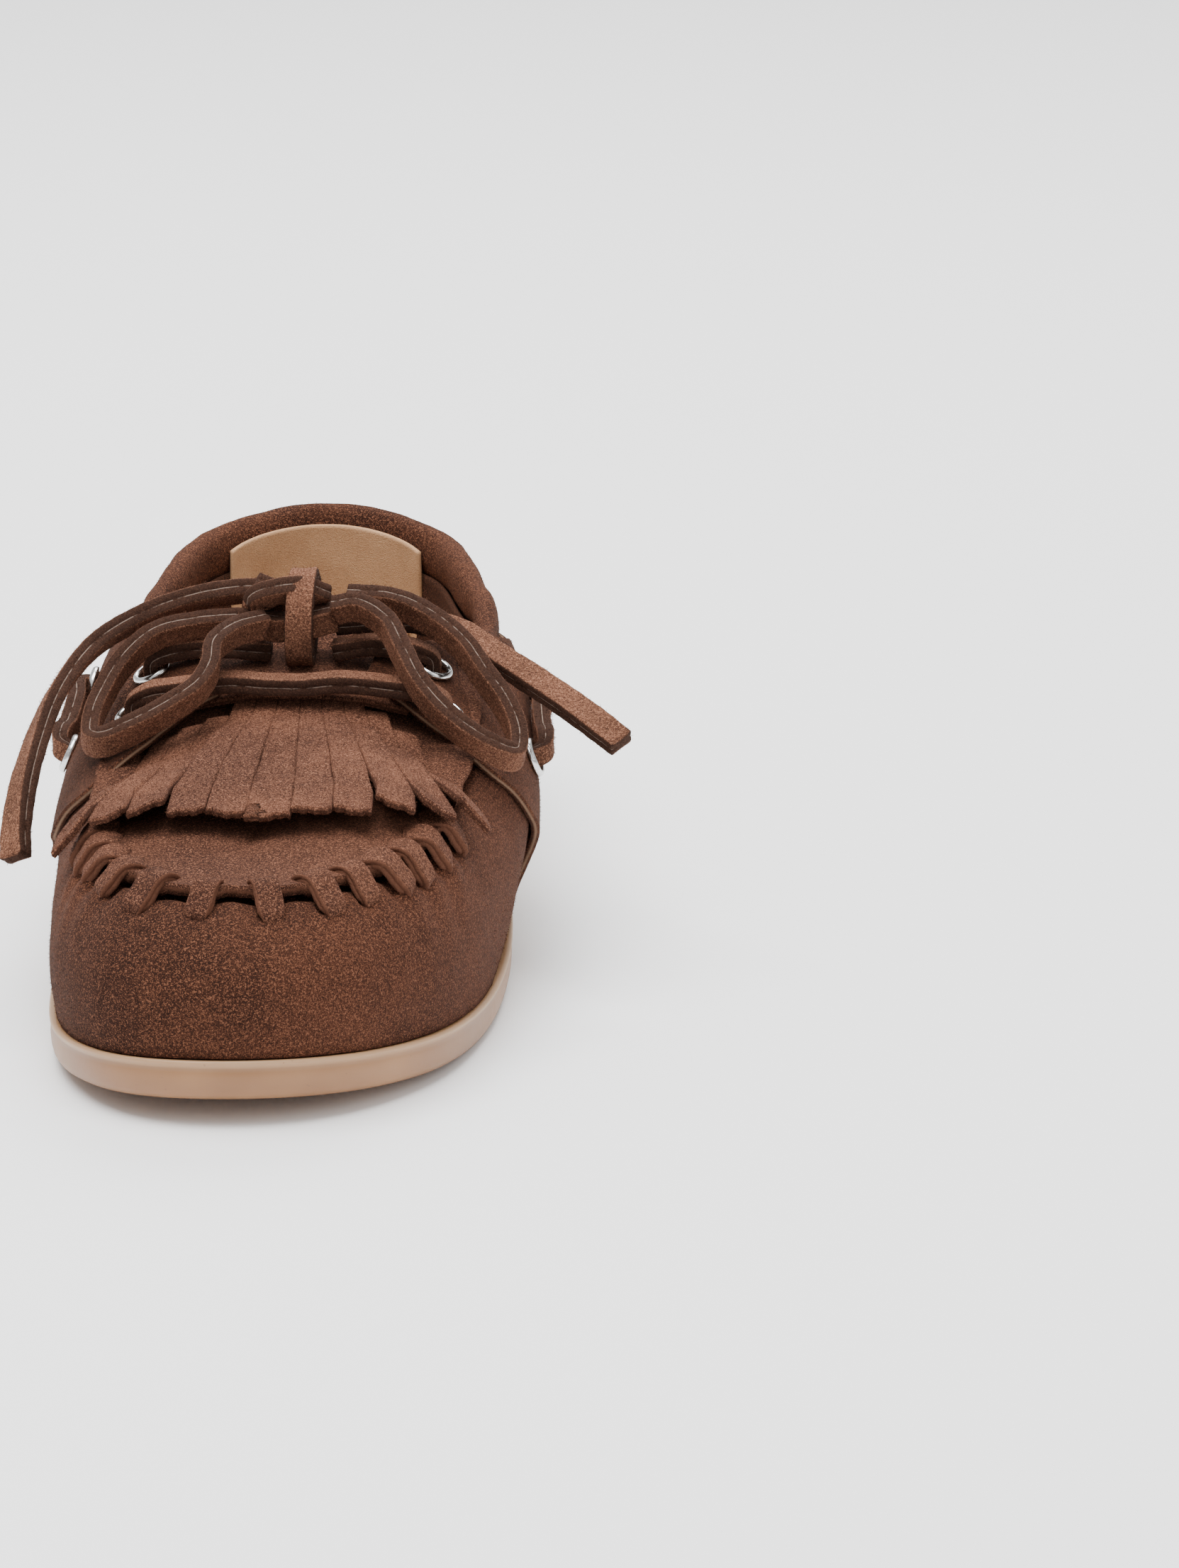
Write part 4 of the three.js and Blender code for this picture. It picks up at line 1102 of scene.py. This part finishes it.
def makeCollar():
    count, sides = 260, 36
    f = np.linspace(0, 1, count)
    u = collarLook["from"] + (1 - 2 * collarLook["from"]) * f
    tilt = topline(u)
    rise = unit(upperFace(u, tilt + 0.5) - upperFace(u, tilt - 0.5))
    out = upperNormal(u, tilt)
    taper = 0.55 + 0.45 * np.sin(math.pi * f)
    close = np.minimum(np.sqrt(np.clip(np.minimum(f, 1 - f) / 0.012, 0.02, 1)), 1)
    high = collarLook["halfHeight"] * taper
    centre = upper(u, tilt, -2.2) + rise * (high + 0.8)[:, None]
    dive = (1 - smooth(0, 0.16, np.minimum(f, 1 - f)))[:, None]
    centre = centre - dive * (rise * high[:, None] * 1.5 + out * 3.6)
    angle = (np.arange(sides) + 0.5) / sides * 2 * math.pi
    c, s = np.cos(angle), np.sin(angle)
    wide = np.sign(c) * np.abs(c) ** 0.9
    thick = np.sign(s) * np.abs(s) ** 0.9
    rings = (
        centre[:, None]
        + rise[:, None] * (wide[None, :] * (high * close)[:, None])[..., None]
        + out[:, None] * (thick[None, :] * (collarLook["halfThickness"] * taper * close)[:, None])[..., None]
    )
    rough = 0.35 * unevenness(rings, 9, 1.0) + 0.12 * unevenness(rings, 3, 2.0)
    rings = rings + unit(rings - centre[:, None]) * rough[..., None]
    points = rings.reshape(-1, 3)
    i, j = np.meshgrid(np.arange(count - 1), np.arange(sides), indexing="ij")
    a, b = (i * sides + j).ravel(), (i * sides + (j + 1) % sides).ravel()
    faces = [list(q) for q in np.stack([a, b, b + sides, a + sides], -1)]
    faces.append(list(range(sides))[::-1])
    faces.append(list((count - 1) * sides + np.arange(sides)))
    obj = faceOut(makeObject("collar_pad", points, faces, rim=np.zeros(len(points))))
    obj = dress(obj, darkSuede, ["collar_roll"], nap=(0.7, 0.5))


makeCollar()
print("collar made")

# fringed flap

fringeLook = {"strips": 11, "thickness": 1.8, "under": -2.8, "clear": 4.6, "gap": 0.3,
              "reach": 42, "bend": 49, "sideClear": 2.6}
foldBack = [80, 82, 84, 95, 97, 97, 97, 97, 95, 88, 82]
# how each strip lies: extra height of its end, roll to the side in degrees, extra length, sideways drift
stripLie = [
    (-1.6, 16, 1.2, -0.6), (-0.2, 5, 0.4, 0.1), (1.0, 13, 0.0, 0.3), (-0.5, 7, 0.4, 0.1), (0.2, 4, 0.0, 0.0),
    (0.3, -3, 0.0, 0.0), (0.2, -2, 0.2, 0.0), (0.0, -2, 0.2, 0.0), (1.0, -7, -0.2, 0.1), (0.6, -8, 0.2, 0.1),
    (0.9, -10, 0.6, 0.4),
]


def flapX(w, back):
    f = np.minimum((123 - back) / 68, 1)
    return w * (19 + 21 * f) + 0.6


def makeStrip(k):
    count = fringeLook["strips"]
    endUp, roll, extra, drift = stripLie[k]
    middle = -1 + (2 * k + 1) / count
    end = fringeLook["reach"] + (9 if middle < 0 else 22) * middle**2 - extra
    start = foldBack[k] + 14 if foldBack[k] < 90 else 112
    rows, columns = 84, 13
    t = np.linspace(-1, 1, columns)[None, :]
    back = np.linspace(start, end, rows)[:, None]
    narrow = 1 / count - fringeLook["gap"] / 2 / 40
    w = middle + t * narrow * (1 + 0.02 * np.sin(back * 0.4 + k * 1.7))
    reach = np.clip((foldBack[k] - back) / (foldBack[k] - end), 0, 1)
    x = flapX(w, back) + drift * reach**2
    lift = unit(np.stack([0.85 * w, -0.15 + w * 0, 1 + w * 0], -1))
    rise = fringeLook["clear"] - fringeLook["under"] + fringeLook["sideClear"] * np.abs(w) ** 3
    height = rise * reach**0.7 + endUp * reach**3
    height = height + 0.3 * np.sin(back * 0.17 + k * 2.1) * reach
    free = np.broadcast_to(np.maximum(fringeLook["bend"] - back, 0), x.shape)
    depth, y = fringeLook["under"] + 0.6, back + free - halfLength
    base = over(x, y, depth)
    ahead = unit(base - over(x, y + 2, depth))
    face = base + ahead * free[..., None] + lift * np.broadcast_to(height, x.shape)[..., None]
    centre = face[:, columns // 2]
    heading = unit(np.gradient(centre, axis=0))
    side = unit(face[:, -1] - face[:, 0])
    normal = unit(np.cross(heading, side))
    normal = normal * np.where(normal[:, 2:] < 0, -1.0, 1.0)
    flat = np.sum((face - centre[:, None]) * side[:, None], -1)
    turn = np.radians(roll) * reach**1.6
    cup = (0.25 + 0.3 * math.sin(k * 2.3)) * reach * t**2
    rolled = (
        centre[:, None]
        + side[:, None] * (flat * np.cos(turn))[..., None]
        + normal[:, None] * (flat * np.sin(turn) + cup)[..., None]
    )
    loose = smooth(0, 0.35, reach)[..., None]
    face = face * (1 - loose) + rolled * loose
    ragged = (0.5 * np.sin(t[0] * 4 + k * 1.9) + 0.5 * np.sin(t[0] * 11 + k * 3.1)) * 0.75
    tail = smooth(rows - 10, rows - 1, np.arange(rows))
    face = face + (heading[-1] * ragged[:, None])[None] * tail[:, None, None]
    shift = normal[:, None] * (fringeLook["thickness"] / 2 * (1 - 0.15 * tail))[:, None, None]
    rough = 0.08 * unevenness(face, 1.4, k + 0.5) + 0.15 * unevenness(face, 5.0, k * 1.3)
    grain = normal[:, None] * rough[..., None]
    number = f"{k + 1:02d}"
    obj = makeSheet(f"fringe_{number}", face + shift + grain, face - shift + grain, soft=0.3)
    obj = dress(obj, fringeSuede, [f"kiltie_strip_{number}"], ride=False, nap=(1.8, 0.7))
    fold = int(np.argmin(np.abs(back[:, 0] - foldBack[k])))
    a, b = (centre[max(fold - 3, 0)] + centring) / 1000, (centre[min(fold + 5, rows - 1)] + centring) / 1000
    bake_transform(obj)


for index in range(fringeLook["strips"]):
    makeStrip(index)


def makeYoke():
    columns, rows = 90, 26
    w = np.linspace(-1, 1, columns)[:, None]
    back = np.linspace(104, 123, rows)[None, :]
    x = flapX(w, back)
    y = np.broadcast_to(back - halfLength, x.shape)
    u, tilt = placeOn(x, y)
    lift = -0.45 + 0.15 * unevenness(upperFace(u, tilt), 6, 1.1)
    obj = makeSheet("fringe_yoke", upper(u, tilt, lift), upper(u, tilt, lift - 1.5), soft=0.3)
    dress(obj, fringeSuede, ["kiltie_base"])


makeYoke()
print("fringe made")

# eyelets

eyeletLook = {"rim": 4.3, "bore": 2.9, "sides": 40}
throatPlaces = {"lateral_front": (32, -24), "lateral_rear": (29, -7.4), "medial_front": (-30.5, -24),
    "medial_rear": (-28, -7.4)}
sidePlaces = {"lateral_side_front": (0.285, 34), "lateral_side_rear": (0.335, 31),
              "medial_side_front": (-0.285, 34), "medial_side_rear": (-0.335, 31)}
eyelets = {name: tuple(float(a) for a in placeOn(*place)) for name, place in throatPlaces.items()}
eyelets.update(sidePlaces)


def eyeletShape():
    rim, bore, sides = eyeletLook["rim"], eyeletLook["bore"], eyeletLook["sides"]
    middle = (rim + bore) / 2
    profile = [
        (bore, -2.8), (bore, 0.3), (bore + 0.12, 0.75), (bore + 0.4, 1.1), (middle, 1.25), (rim - 0.35, 1.05),
        (rim - 0.08, 0.65), (rim, 0.25), (rim - 0.1, -0.1), (rim - 0.6, -0.2), (bore + 0.45, -0.2),
        (bore + 0.4, -2.8),
    ]
    points, faces = [], []
    for k in range(sides):
        angle = 2 * math.pi * k / sides
        points += [np.array((r * math.cos(angle), r * math.sin(angle), z)) - centring for r, z in profile]
    n = len(profile)
    for k in range(sides):
        for q in range(n):
            a, b = k * n + q, ((k + 1) % sides) * n + q
            c, d = ((k + 1) % sides) * n + (q + 1) % n, k * n + (q + 1) % n
            faces.append([a, b, c, d])
    return faceOut(makeObject("ring", points, faces))


def makeEyelets():
    u = np.array([p[0] for p in eyelets.values()])
    tilt = np.array([p[1] for p in eyelets.values()])
    normal = upperNormal(u, tilt)
    run = unit(np.cross(normal, np.array([0.2, 0.1, 1.0])))
    obj = copyAlong("eyelets", eyeletShape(), upper(u, tilt, quarterLift(u) + 0.35), normal, run, metal)
    dress(obj, metal, [f"eyelet_{name}" for name in eyelets])


makeEyelets()

# laces through the eyelets

fullSize = (2.9, 1.85)
slimSize = (2.4, 1.15)
boreSize = (2.1, 1.5)


def throughEyelet(place, heading, wide, inward):
    u, tilt = place
    lift = float(quarterLift(np.array(u)))
    normal = upperNormal(u, tilt)
    centre = upper(u, tilt, 0.0)
    flat = unit(heading - normal * np.dot(heading, normal))
    marks = [(-5.6, lift + 3.2, fullSize), (-1.3, lift + 2.9, boreSize), (0, lift + 0.7, boreSize),
             (0, lift - 1.9, boreSize), (1.3, lift - 4.1, slimSize)]
    stops = [[centre + flat * run + normal * offset, wide, size] for run, offset, size in marks]
    return stops if inward else stops[::-1]


def heldStops(side):
    front = eyelets["lateral_front" if side > 0 else "medial_front"]
    rear = eyelets["lateral_rear" if side > 0 else "medial_rear"]
    frontAt, rearAt = upper(*front, 0.0), upper(*rear, 0.0)
    outward, backward = np.array([side, 0.0, 0.0]), unit(rearAt - frontAt)
    lengthwise, crosswise = np.array([0.0, 1, 0]), np.array([side, 0, -0.5])
    stops = [[over(x * side, -24, height), lengthwise, fullSize] for x,
        height in ((4, 2.8), (11, 3.8), (21, 4.4))]
    down = throughEyelet(front, outward, lengthwise, True)
    down[4] = [frontAt + backward * 2 + upperNormal(*front) * -1.95, crosswise, slimSize]
    up = throughEyelet(rear, outward, lengthwise, True)[::-1]
    up[0] = [rearAt - backward * 2 + upperNormal(*rear) * -1.95, crosswise, slimSize]
    under = [over(30.5 if side > 0 else -29.2, -15, -1.95), crosswise, slimSize]
    riser = [[over(16 * side, -8, 4.4), lengthwise, fullSize],
        [np.array([2.6 + 6.6 * side, -9, 66]), lengthwise, fullSize]]
    return stops + down + [under] + up + riser


def sideStops(side):
    front = (0.285 * side, 34)
    rear = (0.335 * side, 31)
    run = unit(upperFace(*rear) - upperFace(*front))
    rise = np.array([0.0, 0, 1])
    channel = [[upper(u * side, 23 - 8.5 * float(smooth(0.35, 0.42, u)), -3.4), rise, slimSize]
               for u in (0.36, 0.385, 0.41, 0.435, 0.46, 0.475, 0.489)]
    outside = [[upper(u * side, 32.6, 1.95 + 2.4), rise, fullSize] for u in (0.303, 0.318)]
    inner = throughEyelet(front, -run, rise, True)[::-1]
    outer = throughEyelet(rear, run, rise, True)
    return inner + outside + outer + channel


def strapFrom(name, stops, node):
    obj, _ = makeStrap(name, [s[0] for s in stops], [s[1] for s in stops], [s[2] for s in stops])
    return dress(obj, laceSuede, [node], nap=laceNap)


strapFrom("lace_bar", heldStops(-1)[::-1] + heldStops(1), "lace_held")
strapFrom("side_strap", sideStops(-1) + sideStops(1)[::-1], "side_lace")

# knot

knotStraps = {
    "wrap": ([(2.6, -3.5, 68), (2.4, -8, 64.6), (2.2, -13.4, 66.2), (2.2, -15.2, 71), (2.4, -15, 76),
              (2.8, -12.6, 80.2), (3.2, -8.4, 81.6), (3.6, -5, 79)], (1, 0, 0.05)),
    "turn": ([(6.8, -8, 77.2), (2.6, -11.2, 79.6), (-2.6, -12.4, 79.4), (-6.4, -10.4, 77.2),
    (-6.6, -7, 73.6)],
             (0.15, -0.7, 0.6)),
    "core": ([(9.4, -10, 73.4), (4, -11.4, 72.4), (-2, -11.4, 71.6), (-7, -9.6, 71.8)], (0, -0.3, 0.95)),
    "back": ([(9.2, -4.6, 72.6), (3, -6, 74), (-4, -6, 77.4), (-7.6, -6, 79)], (0, -0.5, 0.8)),
}


def makeKnot():
    parts = []
    for name, (route, wide) in knotStraps.items():
        obj, _ = makeStrap("knot_" + name, route, [wide] * len(route), [(2.8, 1.9)] * len(route))
        parts.append(obj)
    for obj in parts:
        dress(obj, laceSuede, ["bow_knot"] if obj is parts[0] else (), nap=laceNap)


makeKnot()
print("laces and knot made")

# floor and light

lightLook = {"world": 0.8, "key": 58.0, "fill": 5.0, "back": 14.0}


def makeFloor():
    mesh = bpy.data.meshes.new("floor")
    s = 6.0
    mesh.from_pydata([(-s, -s, 0), (s, -s, 0), (s, s, 0), (-s, s, 0)], [], [(0, 1, 2, 3)])
    obj = bpy.data.objects.new("floor", mesh)
    bpy.context.scene.collection.objects.link(obj)
    material, _, shader, _ = newMaterial("paleFloor")
    shader.inputs["Base Color"].default_value = (0.93, 0.93, 0.93, 1)
    shader.inputs["Roughness"].default_value = 0.75
    mesh.materials.append(material)


def makeLight(name, place, target, size, power):
    data = bpy.data.lights.new(name, "AREA")
    data.energy = power
    data.size = size
    obj = bpy.data.objects.new(name, data)
    obj.location = place
    obj.rotation_euler = (Vector(target) - Vector(place)).to_track_quat("-Z", "Y").to_euler()
    bpy.context.scene.collection.objects.link(obj)


def makeLights():
    world = bpy.data.worlds.new("world")
    bpy.context.scene.world = world
    world.use_nodes = True
    world.node_tree.nodes["Background"].inputs["Color"].default_value = (1, 1, 1, 1)
    world.node_tree.nodes["Background"].inputs["Strength"].default_value = lightLook["world"]
    makeLight("key", (-0.25, -0.25, 1.6), (0, 0, 0.03), 1.3, lightLook["key"])
    makeLight("fill", (0.9, -0.9, 0.8), (0, 0, 0.03), 1.0, lightLook["fill"])
    makeLight("back", (0.1, 1.0, 1.1), (0, 0, 0.05), 0.8, lightLook["back"])


makeFloor()
makeLights()
print("scene made")
